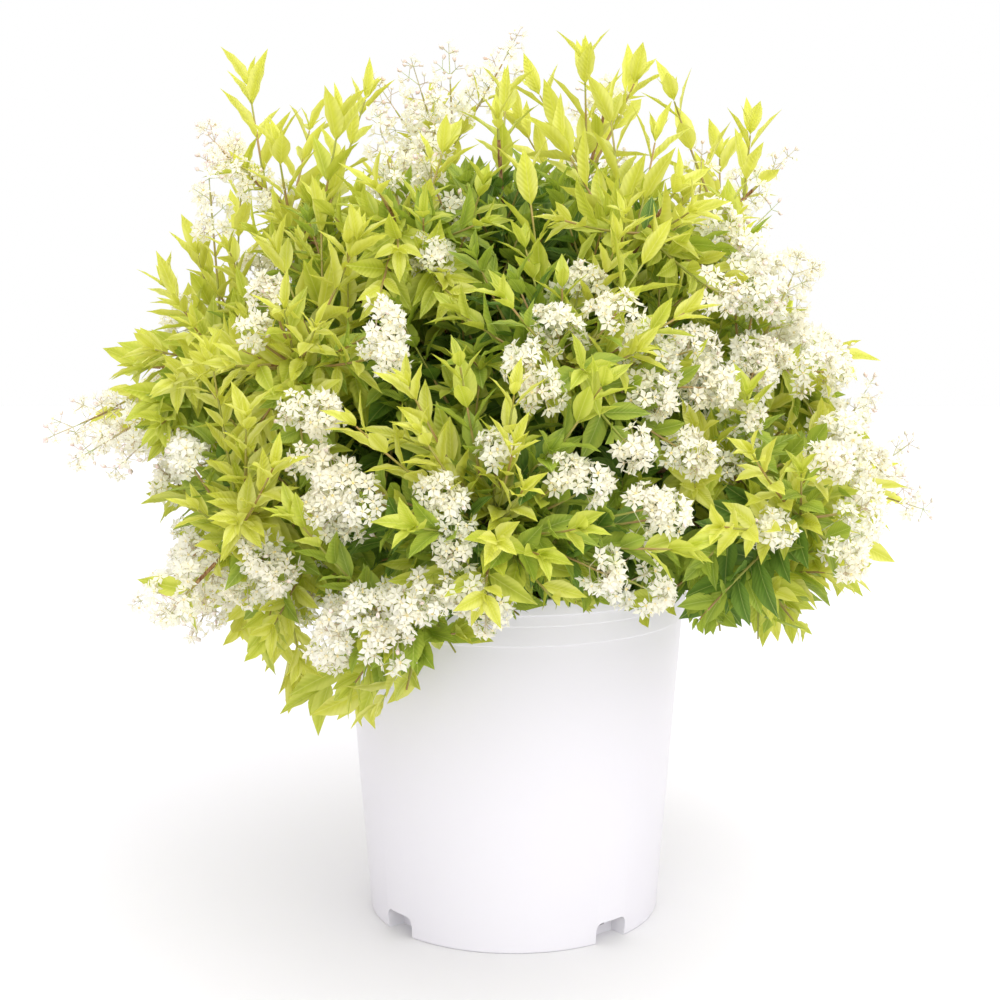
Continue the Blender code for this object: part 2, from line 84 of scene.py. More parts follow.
def tone(code):
    """An sRGB hex colour as a linear colour."""
    parts = [int(code[k:k + 2], 16) / 255 for k in (1, 3, 5)]
    return (*(p / 12.92 if p <= 0.04045 else ((p + 0.055) / 1.055) ** 2.4 for p in parts), 1.0)


def add(tree, kind, inputs=None, **settings):
    """One node of a tree, with its settings, its inputs set to values or linked from sockets or from the first
    outputs of nodes."""
    node = tree.nodes.new(kind)
    for name, value in settings.items():
        setattr(node, name, value)
    for key, value in (inputs or {}).items():
        if isinstance(value, bpy.types.Node):
            value = value.outputs[0]
        if isinstance(value, bpy.types.NodeSocket):
            tree.links.new(value, node.inputs[key])
        else:
            node.inputs[key].default_value = value
    return node


def finish(name, colour, roughness, **sockets):
    """A material whose shader has these uniform values, as (material, its tree, its shader)."""
    made = bpy.data.materials.new(name)
    made.use_nodes = True
    shader = made.node_tree.nodes["Principled BSDF"]
    shader.inputs["Base Color"].default_value = tone(colour)
    shader.inputs["Roughness"].default_value = roughness
    for socket, value in sockets.items():
        shader.inputs[socket.replace("_", " ")].default_value = value
    return made, made.node_tree, shader


def solid(name, points, faces):
    """An object in the scene with a mesh of these points and faces."""
    mesh = bpy.data.meshes.new(name)
    mesh.from_pydata([tuple(p) for p in points], [], faces)
    made = bpy.data.objects.new(name, mesh)
    bpy.context.scene.collection.objects.link(made)
    return made


camera = bpy.data.objects.new("camera", bpy.data.cameras.new("camera"))
camera.location = CAMERA_PLACE
camera.rotation_euler = (math.radians(90 - CAMERA_DOWN), 0.0, 0.0)
camera.data.sensor_width = CAMERA_SENSOR
camera.data.lens = CAMERA_LENS
camera.data.shift_x = CAMERA_SHIFT
bpy.context.scene.collection.objects.link(camera)
bpy.context.scene.camera = camera
bpy.context.scene.view_settings.view_transform = "Standard"

sky = bpy.data.worlds.new("studio_sky")
sky.use_nodes = True
tree = sky.node_tree
way = add(tree, "ShaderNodeSeparateXYZ", {0: add(tree, "ShaderNodeTexCoord").outputs["Generated"]}).outputs
deep = add(tree, "ShaderNodeMath", {0: way["Y"], 1: way["Y"]}, operation="MULTIPLY")
up = add(tree, "ShaderNodeMath", {0: way["Z"], 1: 0.0}, operation="MAXIMUM")
sided = add(tree, "ShaderNodeMath", {0: way["X"], 1: SKY_RIGHT_OVER_LEFT, 2: SKY_AROUND}, operation="MULTIPLY_ADD")
around = add(tree, "ShaderNodeMath", {0: deep, 1: SKY_FORE_AND_AFT, 2: sided},
             operation="MULTIPLY_ADD")
lit = add(tree, "ShaderNodeMath", {0: up, 1: SKY_OVERHEAD, 2: around}, operation="MULTIPLY_ADD")
# The camera sees the paper behind the plant as plain white, whatever the sky gives as light
looked_at = add(tree, "ShaderNodeLightPath").outputs["Is Camera Ray"]
strength = add(tree, "ShaderNodeMix", {0: looked_at, 2: lit, 3: 1.0}, data_type="FLOAT")
sideways = add(tree, "ShaderNodeMath", {0: way["X"], 1: way["X"]}, operation="MULTIPLY")
tint = add(tree, "ShaderNodeMix", {0: looked_at, 2: sideways, 3: 0.0}, data_type="FLOAT")
light = add(tree, "ShaderNodeMix", {0: tint, 6: tone(SKY_TINTS[0]), 7: tone(SKY_TINTS[1])},
            data_type="RGBA")
background = tree.nodes["Background"]
tree.links.new(light.outputs[2], background.inputs["Color"])
tree.links.new(strength.outputs[0], background.inputs["Strength"])
bpy.context.scene.world = sky

softbox = bpy.data.objects.new("softbox", bpy.data.lights.new("softbox", "AREA"))
softbox.data.size = SOFTBOX_SIZE
softbox.data.energy = SOFTBOX_POWER
softbox.location = SOFTBOX_PLACE
softbox.rotation_euler = (Vector(SOFTBOX_AIM) - softbox.location).to_track_quat("-Z", "Y").to_euler()
bpy.context.scene.collection.objects.link(softbox)

half = SWEEP_SIZE / 2
sweep = solid("sweep", [(-half, -half, 0), (half, -half, 0), (half, half, 0), (-half, half, 0)], [(0, 1, 2, 3)])
# Seamless background paper, matt, with a tooth too fine to show
paper, _, _ = finish("seamless_paper", "#E8E8E8", 0.95)
sweep.data.materials.append(paper)

# The pot: a ten litre nursery container, moulded in one shot from white polypropylene with a wall of 2.4 mm.
# A stepped collar stiffens its rim, and four alcoves in its foot let the water out.
POT_HEIGHT = 0.250
POT_FOOT_RADIUS = 0.1045
POT_RIM_RADIUS = 0.1260
POT_WALL = 0.0024
POT_FLOOR = 0.0030
POT_SIDES = 144
POT_TURN = math.radians(-50)
COLLAR_HEIGHT = 0.0325
BAND_HEIGHT = 0.0190
LIP_HEIGHT = 0.0115
COLLAR_STEP = 0.0012
BAND_STEP = 0.0006
LIP_STEP = 0.0009
FOOT_ROUND = 0.0016
LIP_ROUND = 0.0011
STEP_ROUND = 0.0004
NOTCH_TURNS = [POT_TURN + math.pi / 2 + math.tau * k / 4 for k in range(4)]
NOTCH_WIDTH = 0.027
NOTCH_HEIGHT = 0.015
NOTCH_DEPTH = 0.014
NOTCH_ROUND = 0.005
DRAIN_WIDTH = 0.013
DRAIN_HEIGHT = 0.006


def rounded(profile, steps=4, most=2.1):
    """A profile of (radius, height, rounding) corners, each rounded off over at most a side's length / most."""
    line = []
    for k, (r, z, rounding) in enumerate(profile):
        corner = Vector((r, z))
        if rounding == 0 or k in (0, len(profile) - 1):
            line.append(tuple(corner))
            continue
        before = Vector(profile[k - 1][:2]) - corner
        after = Vector(profile[k + 1][:2]) - corner
        start = corner + before.normalized() * min(rounding, before.length / most)
        end = corner + after.normalized() * min(rounding, after.length / most)
        for step in range(steps + 1):
            t = step / steps
            line.append(tuple(start * (1 - t) ** 2 + corner * (2 * t * (1 - t)) + end * t**2))
    return line


def meshed(name, work):
    """The object that a bmesh makes, with its faces outward."""
    made = solid(name, [], [])
    bmesh.ops.recalc_face_normals(work, faces=work.faces)
    work.to_mesh(made.data)
    work.free()
    return made


def turned(name, line, sides):
    """A line of (radius, height) points, spun about Z. Its first and last points are on the axis."""
    work = bmesh.new()
    spots = [work.verts.new((r, 0, z)) for r, z in line]
    edges = [work.edges.new(pair) for pair in zip(spots, spots[1:])]
    bmesh.ops.spin(work, geom=spots + edges, axis=(0, 0, 1), cent=(0, 0, 0), steps=sides, angle=math.tau)
    bmesh.ops.remove_doubles(work, verts=work.verts, dist=1e-6)
    return meshed(name, work)


def smooth(thing, sharp_over=None):
    """Smooth shading, with any edges left sharp whose faces turn by more than this many degrees."""
    thing.data.polygons.foreach_set("use_smooth", [True] * len(thing.data.polygons))
    if sharp_over:
        thing.data.set_sharp_from_angle(angle=math.radians(sharp_over))


def block(name, size, place, turn, rounding=0.0):
    """A box of size (out, across, up) whose middle is at (out, up), turned about Z, its upper edges rounded."""
    work = bmesh.new()
    bmesh.ops.create_cube(work, size=1.0)
    bmesh.ops.scale(work, vec=size, verts=work.verts)
    if rounding:
        high = [edge for edge in work.edges if all(corner.co.z > 0 for corner in edge.verts)]
        outward = [edge for edge in high if edge.verts[0].co.y * edge.verts[1].co.y > 0]
        bmesh.ops.bevel(work, geom=outward, offset=rounding, segments=8, affect="EDGES", profile=0.5)
    bmesh.ops.translate(work, vec=(place[0], 0, place[1]), verts=work.verts)
    bmesh.ops.rotate(work, matrix=Quaternion((0, 0, 1), turn).to_matrix(), verts=work.verts)
    return meshed(name, work)


def grouped(things):
    """A collection with these objects, which leave the scene's own."""
    group = bpy.data.collections.new("group")
    bpy.context.scene.collection.children.link(group)
    for thing in things:
        bpy.context.scene.collection.objects.unlink(thing)
        group.objects.link(thing)
    return group


def scrap(group):
    """Removes a collection and its objects."""
    for thing in list(group.objects):
        bpy.data.objects.remove(thing, do_unlink=True)
    bpy.data.collections.remove(group)


def applied(thing):
    """The object with its modifiers applied."""
    bpy.context.view_layer.update()
    result = bpy.data.meshes.new_from_object(thing.evaluated_get(bpy.context.evaluated_depsgraph_get()))
    thing.modifiers.clear()
    thing.data = result
    return thing


def join_or_cut(target, others, operation):
    """One Boolean on other objects, applied, and the others removed."""
    group = grouped(others)
    cut = target.modifiers.new(operation.lower(), "BOOLEAN")
    cut.operation = operation
    cut.operand_type = "COLLECTION"
    cut.collection = group
    cut.solver = "EXACT"
    applied(target)
    scrap(group)


def wall_radius(z):
    """The wall's outer radius at a height, under the collar."""
    slope = (POT_RIM_RADIUS - COLLAR_STEP - BAND_STEP - LIP_STEP - POT_FOOT_RADIUS) / POT_HEIGHT
    return POT_FOOT_RADIUS + slope * z


def alcoves(name, grow, reach_out):
    """The boxes of the four alcoves in the foot, each grown by grow on every side but the floor's."""
    deep = NOTCH_DEPTH + grow + reach_out
    middle = (POT_FOOT_RADIUS - NOTCH_DEPTH - grow + deep / 2, 0.0)
    size = (deep, NOTCH_WIDTH + 2 * grow, 2 * (NOTCH_HEIGHT + grow))
    return [block(name, size, middle, turn, NOTCH_ROUND) for turn in NOTCH_TURNS]


collar, band, lip = (POT_HEIGHT - h for h in (COLLAR_HEIGHT, BAND_HEIGHT, LIP_HEIGHT))
pot_inside = POT_RIM_RADIUS - LIP_STEP - BAND_STEP - COLLAR_STEP - POT_WALL
pot = turned("nursery_pot", rounded([
    (0.0, 0.0, 0),
    (POT_FOOT_RADIUS, 0.0, FOOT_ROUND),
    (wall_radius(collar), collar, STEP_ROUND),
    (wall_radius(collar) + COLLAR_STEP, collar + COLLAR_STEP / 2, STEP_ROUND),
    (wall_radius(band) + COLLAR_STEP, band, STEP_ROUND),
    (wall_radius(band) + COLLAR_STEP + BAND_STEP, band + BAND_STEP, STEP_ROUND),
    (wall_radius(lip) + COLLAR_STEP + BAND_STEP, lip, STEP_ROUND),
    (POT_RIM_RADIUS, lip + LIP_STEP, STEP_ROUND),
    (POT_RIM_RADIUS, POT_HEIGHT, LIP_ROUND),
    (pot_inside, POT_HEIGHT, LIP_ROUND),
    (POT_FOOT_RADIUS - POT_WALL, POT_FLOOR, FOOT_ROUND),
    (0.0, POT_FLOOR, 0),
]), POT_SIDES)
linings = alcoves("lining", POT_WALL, -POT_WALL)
for lining in linings:
    for corner in lining.data.vertices:
        corner.co.z = max(corner.co.z, POT_FLOOR / 2)
join_or_cut(pot, linings, "UNION")
join_or_cut(pot, alcoves("alcove", 0.0, 2 * POT_WALL), "DIFFERENCE")
drain_size = (2 * NOTCH_DEPTH, DRAIN_WIDTH, DRAIN_HEIGHT)
drain_place = (POT_FOOT_RADIUS - NOTCH_DEPTH, NOTCH_HEIGHT - DRAIN_HEIGHT)
join_or_cut(pot, [block("drain", drain_size, drain_place, turn) for turn in NOTCH_TURNS], "DIFFERENCE")
smooth(pot, 28)


def patchy(tree, shader, scale, detail, stops=(), relief=None, stretch=1.0, roughness=0.5):
    """Noise on a piece, drawn out along Z by stretch: as patches of colour between two (place, colour) stops,
    and as relief of a (strength, depth) over any relief that its shader has."""
    spot = add(tree, "ShaderNodeTexCoord").outputs["Object"]
    if stretch != 1.0:
        spot = add(tree, "ShaderNodeMapping", {"Vector": spot, "Scale": (1.0, 1.0, stretch)})
    noise = add(tree, "ShaderNodeTexNoise", {
        "Vector": spot, "Scale": scale, "Detail": detail, "Roughness": roughness,
    })
    if stops:
        shades = add(tree, "ShaderNodeValToRGB", {"Fac": noise})
        for stop, (place, code) in zip(shades.color_ramp.elements, stops):
            stop.position = place
            stop.color = tone(code)
        tree.links.new(shades.outputs["Color"], shader.inputs["Base Color"])
    if relief:
        bump = add(tree, "ShaderNodeBump", {"Height": noise, "Strength": relief[0], "Distance": relief[1]})
        for link in shader.inputs["Normal"].links:
            tree.links.new(link.from_socket, bump.inputs["Normal"])
        tree.links.new(bump.outputs["Normal"], shader.inputs["Normal"])


# Polypropylene, injection moulded in a polished tool: a soft gloss over a cool white, with the faint
# waviness that the wall takes on as it shrinks and the fine grain of the tool.
white_plastic, tree, shader = finish("moulded_polypropylene", "#E5E4E7", 0.30, IOR=1.49, Coat_Weight=0.15,
                                     Coat_Roughness=0.12)
patchy(tree, shader, 34.0, 2.0, relief=(0.35, 0.0006), stretch=0.35)
patchy(tree, shader, 900.0, 3.0, relief=(0.10, 0.00015))
pot.data.materials.clear()
pot.data.materials.append(white_plastic)
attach(pot, "root")
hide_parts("pot")

# The potting mix: composted bark, coir and white perlite, filled to a finger's breadth under the rim.
# It is a crumbly body with bark chips and beads of perlite strewn over its top.
CLEAR = 0.0003
SOIL_TOP = POT_HEIGHT - 0.027
SOIL_FLAT_RADIUS = 0.050
SOIL_FALL = 0.004
SOIL_LUMPS = 0.0022
SOIL_FOOT_ROUND = 0.0015
SOIL_EDGE_ROUND = 0.004
CHIPS = 620
BEADS = 150
CHIP_SIZE = 0.0085
CHIP_FLAT = 0.35
BEAD_SIZE = 0.0042
BEAD_FLAT = 0.9
SIZE_WOBBLE = 0.2
LUMP_SIZES = (0.5, 1.1)
SOIL_SEED = 5
LUMP_LEAN = 0.5
LUMP_SUNK = 0.0015
LUMPS_OFF_WALL = 0.006
LUMPS_FALL_OVER = 0.07


def soil_edge(z):
    """The potting mix's radius at a height, just inside the pot's wall."""
    foot = POT_FOOT_RADIUS - POT_WALL
    return foot + (pot_inside - foot) * (z - POT_FLOOR) / (POT_HEIGHT - POT_FLOOR) - 2 * CLEAR


def begin_tree(name, **kinds):
    """A tree of Geometry Nodes with inputs of these names and kinds, as (the tree, its inputs)."""
    made = bpy.data.node_groups.new(name, "GeometryNodeTree")
    for label, kind in kinds.items():
        made.interface.new_socket(label.replace("_", " "), in_out="INPUT", socket_type="NodeSocket" + kind)
    made.interface.new_socket("Mesh", in_out="OUTPUT", socket_type="NodeSocketGeometry")
    return made, add(made, "NodeGroupInput").outputs


def end_tree(made, geometry, material):
    """The same tree, ended: its instances are made real and take one material."""
    real = add(made, "GeometryNodeRealizeInstances", {"Geometry": geometry})
    done = add(made, "GeometryNodeSetMaterial", {"Geometry": real, "Material": material})
    add(made, "NodeGroupOutput", {0: done})
    return made


def strew_tree():
    """Nodes that put one of several forms on each point, by the point's own turn, size and choice of form."""
    made, given = begin_tree("strew", Points="Geometry", Forms="Collection", Size="Float", Size_wobble="Float",
                             Seed="Int", Finish="Material")
    forms = add(made, "GeometryNodeCollectionInfo", {
        "Collection": given["Forms"], "Separate Children": True, "Reset Children": True,
    })
    turn, size, form = (
        add(made, "GeometryNodeInputNamedAttribute", {"Name": name}, data_type=kind)
        for name, kind in (("turn", "QUATERNION"), ("size", "FLOAT"), ("form", "INT"))
    )
    low = add(made, "ShaderNodeMath", {0: 1.0, 1: given["Size wobble"]}, operation="SUBTRACT")
    high = add(made, "ShaderNodeMath", {0: 1.0, 1: given["Size wobble"]}, operation="ADD")
    wobble = add(made, "FunctionNodeRandomValue", {
        2: low, 3: high, "Seed": given["Seed"],
    }, data_type="FLOAT")
    scaled = add(made, "ShaderNodeMath", {0: size, 1: given["Size"]}, operation="MULTIPLY")
    grown = add(made, "ShaderNodeMath", {0: scaled, 1: wobble.outputs[1]}, operation="MULTIPLY")
    put = add(made, "GeometryNodeInstanceOnPoints", {
        "Points": given["Points"], "Instance": forms, "Pick Instance": True,
        "Instance Index": form, "Rotation": turn, "Scale": grown,
    })
    return end_tree(made, put, given["Finish"])


def made_by(tree, name, mesh, values):
    """The plain mesh that a tree of Geometry Nodes makes of a mesh, with the tree's named inputs set."""
    made = bpy.data.objects.new(name, mesh)
    work = made.modifiers.new(tree.name, "NODES")
    work.node_group = tree
    for item in tree.interface.items_tree:
        if item.in_out == "INPUT" and item.name in values:
            work[item.identifier] = values[item.name]
    bpy.context.scene.collection.objects.link(made)
    return applied(made)


strew = strew_tree()


def strewn(name, forms, spots, size, wobble, seed, material):
    """One piece with a form at each spot, a spot being (place, turn, size, which form).
    Each form's own x and y go along as its UV map, with x = 0 at u = 0.5."""
    places, turns, sizes, which = zip(*spots)
    mesh = bpy.data.meshes.new(name)
    mesh.vertices.add(len(spots))
    mesh.vertices.foreach_set("co", np.array([tuple(place) for place in places], np.float32).ravel())
    for key, kind, values in (
        ("turn", "QUATERNION", np.array([tuple(turn) for turn in turns], np.float32)),
        ("size", "FLOAT", np.array(sizes, np.float32)),
        ("form", "INT", np.array(which, np.int32) % len(forms)),
    ):
        mesh.attributes.new(key, kind, "POINT").data.foreach_set("value", values.ravel())
    group = grouped([solid(f"form_{k}", points, faces) for k, (points, faces) in enumerate(forms)])
    for form, (points, _) in zip(group.objects, forms):
        flat = form.data.uv_layers.new(name="UVMap")
        corners = np.array([tuple(points[loop.vertex_index])[:2] for loop in form.data.loops], np.float32)
        flat.data.foreach_set("uv", (corners + (0.5, 0.0)).astype(np.float32).ravel())
    made = made_by(strew, name, mesh, {
        "Forms": group, "Size": size, "Size wobble": wobble, "Seed": seed, "Finish": material,
    })
    scrap(group)
    return made


def spindle(sides):
    """The faces of a body with two rings of points between two poles."""
    faces = []
    for k in range(sides):
        low, after = 1 + k, 1 + (k + 1) % sides
        high, beyond = low + sides, after + sides
        faces += [(0, after, low), (low, after, beyond, high), (high, beyond, 1 + 2 * sides)]
    return faces


def pebble(sides, flat, chance):
    """A rough lump of two rings and two poles, a unit long, its corners pushed about."""
    points = [(0, 0, -0.5 * flat)]
    for height in (-0.25, 0.22):
        for k in range(sides):
            turn = math.tau * (k + chance.uniform(-0.2, 0.2)) / sides
            radius = 0.5 * chance.uniform(0.75, 1.0)
            points.append((radius * math.cos(turn), 0.62 * radius * math.sin(turn), height * flat))
    return [*points, (0, 0, 0.5 * flat)], spindle(sides)


soil = turned("potting_mix", [
    (0.0, POT_FLOOR + CLEAR),
    (soil_edge(POT_FLOOR + CLEAR) - SOIL_FOOT_ROUND, POT_FLOOR + CLEAR),
    (soil_edge(SOIL_TOP - SOIL_FALL), SOIL_TOP - SOIL_FALL),
    *[(SOIL_FLAT_RADIUS + (soil_edge(SOIL_TOP) - SOIL_EDGE_ROUND - SOIL_FLAT_RADIUS) * k / 9,
       SOIL_TOP - SOIL_FALL * k / 10) for k in range(9, 0, -1)],
    *[(SOIL_FLAT_RADIUS * k / 8, SOIL_TOP) for k in range(8, 0, -1)],
    (0.0, SOIL_TOP),
], 96)
join_or_cut(soil, alcoves("room", POT_WALL + CLEAR, POT_WALL), "DIFFERENCE")
chance = random.Random(SOIL_SEED)
for corner in soil.data.vertices:
    if corner.co.z > SOIL_TOP - SOIL_FALL + 1e-4:
        corner.co.z -= SOIL_LUMPS * chance.random()
smooth(soil, 50)

# Composted bark and coir, damp: near black brown, matt, with paler fibres through it
damp_mix, tree, shader = finish("composted_bark_mix", "#3A2B1F", 0.95)
patchy(tree, shader, 260.0, 6.0, ((0.35, "#21170F"), (0.72, "#6B5138")), (0.8, 0.002), roughness=0.7)
soil.data.materials.clear()
soil.data.materials.append(damp_mix)

# Bark chips, weathered at the top of the pot to a dry grey brown
dry_bark, tree, shader = finish("weathered_bark_chip", "#6A5240", 0.9)
patchy(tree, shader, 120.0, 4.0, ((0.30, "#3D2C20"), (0.75, "#8E745B")))

# Perlite, a popped volcanic glass: chalky white with a fine froth of pits
popped_glass, tree, shader = finish("expanded_perlite", "#EFECE4", 0.85)
patchy(tree, shader, 1400.0, 2.0, relief=(0.6, 0.0004))

lumps = []
for k in range(CHIPS + BEADS):
    out = (soil_edge(SOIL_TOP) - LUMPS_OFF_WALL) * math.sqrt(chance.random())
    turn = chance.uniform(0, math.tau)
    lean = Quaternion(Vector((math.cos(turn), math.sin(turn), 0)), chance.uniform(-LUMP_LEAN, LUMP_LEAN))
    spin = Quaternion((0, 0, 1), chance.uniform(0, math.tau))
    height = SOIL_TOP - LUMP_SUNK - SOIL_FALL * max(0.0, out - SOIL_FLAT_RADIUS) / LUMPS_FALL_OVER
    place = (out * math.cos(turn), out * math.sin(turn), height)
    lumps.append((place, lean @ spin, chance.uniform(*LUMP_SIZES), chance.randrange(3)))
chips = strewn("bark_chips", [pebble(5, CHIP_FLAT, chance) for _ in range(3)], lumps[:CHIPS],
               CHIP_SIZE, SIZE_WOBBLE, 6, dry_bark)
beads = strewn("perlite", [pebble(5, BEAD_FLAT, chance) for _ in range(3)], lumps[CHIPS:],
               BEAD_SIZE, SIZE_WOBBLE, 7, popped_glass)
for piece in (soil, chips, beads):
    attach(piece, "root")
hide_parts("soil")

# The root crown and the canes: one low knot of old wood, and thin arching canes that rise from it.
# Each cane is one tapering limb with a swelling at every node, and its old bark peels in thin strips.
CROWN_RADIUS = 0.034
CROWN_FLARE = 0.004
CROWN_SUNK = 0.001
BURLS = 60
BURL_SEED = 9
BURL_SIZES = (-0.0022, 0.0020)
BURL_EDGE = 0.93
BURL_FADE = 0.07
CANE_FOOT_RADIUS = 0.0027
CANE_TIP_RADIUS = 0.0012
CANE_LENGTH = 0.36
CANE_STEP = 0.004
CANE_SIDES = 8
BARK_RELIEF = 0.0003
NODE_SWELLS = 0.22
NODE_WIDTH = 0.008
FIRST_NODE = (0.62, 0.80)
LAST_NODE = 0.985
INTERNODE = 0.0235
INTERNODE_WOBBLE = (0.85, 1.15)
REACH_WOBBLE = 0.05
TURN_WOBBLE = 5.0
SEED = 41

# A tier of canes: the azimuth of the first, the elevation and reach of their tips from the root crown,
# how far out and how high the arch is pulled, the share that is bare, and where they start on the dome
Tier = namedtuple("Tier", "name canes azimuth elevation reach out lift leaf_from foot")
TIERS = (
    Tier("top", 3, 262.0, 79.0, 0.338, 0.34, 0.200, 0.34, 79.0),
    Tier("leader", 6, 4.0, 60.0, 0.335, 0.36, 0.190, 0.32, 61.0),
    Tier("shoulder", 7, 181.0, 39.0, 0.280, 0.40, 0.180, 0.32, 47.0),
    Tier("side", 7, 13.0, 18.0, 0.250, 0.46, 0.160, 0.34, 36.0),
    Tier("skirt", 5, 38.0, 7.0, 0.200, 0.54, 0.130, 0.40, 25.0),
)
# Canes with a longer reach and a steeper or flatter way than their tier's, as the crown's outline shows
OWN_WAY = {
    "leader_1": (1.02, 0.0),
    "leader_4": (1.05, -1.0),
    "side_1": (1.04, -5.0),
    "side_4": (1.26, 12.0),
    "side_5": (1.10, -8.0),
    "skirt_4": (1.04, -6.0),
}


def toward(azimuth, elevation):
    """A way of length 1 from its azimuth and elevation in degrees."""
    a, e = math.radians(azimuth), math.radians(elevation)
    return Vector((math.cos(a) * math.cos(e), math.sin(a) * math.cos(e), math.sin(e)))


class Cane:
    """One arching cane, a quadratic curve from the root crown to its tip."""

    def __init__(self, name, tier, foot, bend, tip, seed):
        self.name = name
        self.tier = tier
        self.ends = (foot, bend, tip)
        self.seed = seed
        self.nodes = []

    def at(self, s):
        """The place at a share s of the curve."""
        a, b, c = self.ends
        return a * (1 - s) ** 2 + b * (2 * s * (1 - s)) + c * s**2

    def along(self, s):
        """The way that the curve goes at s."""
        a, b, c = self.ends
        return ((b - a) * (1 - s) + (c - b) * s).normalized()

    def step(self, distance, s):
        """How much further in s a distance along the curve is."""
        a, b, c = self.ends
        return distance / (2 * ((b - a) * (1 - s) + (c - b) * s).length)

    def radius(self, s):
        """The limb's radius at s, with its swellings at the nodes."""
        girth = CANE_FOOT_RADIUS + (CANE_TIP_RADIUS - CANE_FOOT_RADIUS) * s**0.8
        near = min((abs(s - node) for node in self.nodes), default=1.0)
        return girth * (1 + NODE_SWELLS * math.exp(-((near / NODE_WIDTH) ** 2)))


crown_mesh = frame["nodes"]["root_crown"].data
dome = BVHTree.FromPolygons([v.co for v in crown_mesh.vertices], [tuple(p.vertices) for p in crown_mesh.polygons])
middle = Vector((0, 0, SOIL_TOP + 2 * CLEAR))
chance = random.Random(SEED)
canes = []
for tier in TIERS:
    for k in range(tier.canes):
        name = f"{tier.name}_{k + 1}"
        azimuth = tier.azimuth + 360 * k / tier.canes + chance.uniform(-TURN_WOBBLE, TURN_WOBBLE)
        share, rise = OWN_WAY.get(name, (1.0, 0.0))
        far = tier.reach * share * (1 + chance.uniform(-REACH_WOBBLE, REACH_WOBBLE))
        tip = middle + toward(azimuth, tier.elevation + rise) * far
        bend = middle + Vector((tip.x * tier.out, tip.y * tier.out, tier.lift))
        foot, normal, _, _ = dome.ray_cast(middle, toward(azimuth, tier.foot))
        canes.append(Cane(name, tier, foot - normal * 0.001, bend, tip, len(canes)))
for cane in canes:
    chance = random.Random(SEED * 7 + cane.seed)
    s = cane.tier.leaf_from * chance.uniform(*FIRST_NODE)
    while s < LAST_NODE:
        cane.nodes.append(s)
        s += cane.step(INTERNODE * chance.uniform(*INTERNODE_WOBBLE), s)


def limb_tree():
    """Nodes that give lines of points a round body of each point's own girth, with bark relief on it."""
    made, given = begin_tree("limb", Lines="Geometry", Sides="Int", Relief="Float", Relief_scale="Float",
                             Finish="Material")
    girth = add(made, "GeometryNodeInputNamedAttribute", {"Name": "girth"}, data_type="FLOAT")
    curve = add(made, "GeometryNodeMeshToCurve", {"Mesh": given["Lines"]})
    sized = add(made, "GeometryNodeSetCurveRadius", {"Curve": curve, "Radius": girth})
    ring = add(made, "GeometryNodeCurvePrimitiveCircle", {"Resolution": given["Sides"], "Radius": 1.0})
    body = add(made, "GeometryNodeCurveToMesh", {
        "Curve": sized, "Profile Curve": ring, "Fill Caps": True,
    })
    if "Scale" in body.inputs:
        made.links.new(girth.outputs[0], body.inputs["Scale"])
    bark = add(made, "ShaderNodeTexNoise", {"Scale": given["Relief scale"], "Detail": 3.0})
    depth = add(made, "ShaderNodeMapRange", {
        "Value": bark, "From Min": 0.25, "From Max": 0.75, "To Min": -0.5, "To Max": 0.5,
    })
    height = add(made, "ShaderNodeMath", {0: depth, 1: given["Relief"]}, operation="MULTIPLY")
    out = add(made, "GeometryNodeInputNormal")
    push = add(made, "ShaderNodeVectorMath", {0: out, "Scale": height}, operation="SCALE")
    worn = add(made, "GeometryNodeSetPosition", {"Geometry": body, "Offset": push})
    soft = add(made, "GeometryNodeSetShadeSmooth", {"Geometry": worn})
    return end_tree(made, soft, given["Finish"])


limb = limb_tree()


def limbs(name, lines, sides, relief, scale, material):
    """One piece of round limbs, each a line of (place, girth)."""
    places, girths, edges = [], [], []
    for line in lines:
        start = len(places)
        for place, girth in line:
            places.append(tuple(place))
            girths.append(girth)
        edges += [(k, k + 1) for k in range(start, len(places) - 1)]
    mesh = bpy.data.meshes.new(name)
    mesh.from_pydata(places, edges, [])
    width = mesh.attributes.new("girth", "FLOAT", "POINT")
    width.data.foreach_set("value", np.array(girths, np.float32))
    return made_by(limb, name, mesh, {
        "Sides": sides, "Relief": relief, "Relief scale": scale, "Finish": material,
    })


# Old deutzia bark: tan strips that peel off a redder skin, in flakes 3 to 8 mm long
peeling_bark, tree, shader = finish("peeling_cane_bark", "#8A6A48", 0.85)
patchy(tree, shader, 620.0, 5.0, ((0.38, "#6E4227"), (0.62, "#B79468")), (0.7, 0.0005), stretch=0.22, roughness=0.6)

crown_foot = SOIL_TOP - CROWN_SUNK
crown = turned("root_crown_wood", [
    (0.0, crown_foot),
    (CROWN_RADIUS + CROWN_FLARE, crown_foot),
    *[(CROWN_RADIUS * math.cos(math.radians(a)), crown_foot + CROWN_SUNK + CROWN_RADIUS * math.sin(math.radians(a)))
      for a in range(6, 90, 6)],
    (0.0, crown_foot + CROWN_SUNK + CROWN_RADIUS),
], 60)
chance = random.Random(BURL_SEED)
burls = [(toward(chance.uniform(0, 360), chance.uniform(5, 80)), chance.uniform(*BURL_SIZES)) for _ in range(BURLS)]
for corner in crown.data.vertices:
    if corner.co.z > crown_foot + 1e-4:
        out = (corner.co - Vector((0, 0, crown_foot))).normalized()
        corner.co += out * sum(size * max(0.0, (out.dot(way) - BURL_EDGE) / BURL_FADE) ** 2 for way, size in burls)
smooth(crown, 60)
crown.data.materials.append(peeling_bark)
steps = [*np.arange(0, 1, CANE_STEP / CANE_LENGTH), 1.0]
bare = limbs("cane_wood", [[(cane.at(s), cane.radius(s)) for s in steps] for cane in canes],
             CANE_SIDES, BARK_RELIEF, 700.0, peeling_bark)
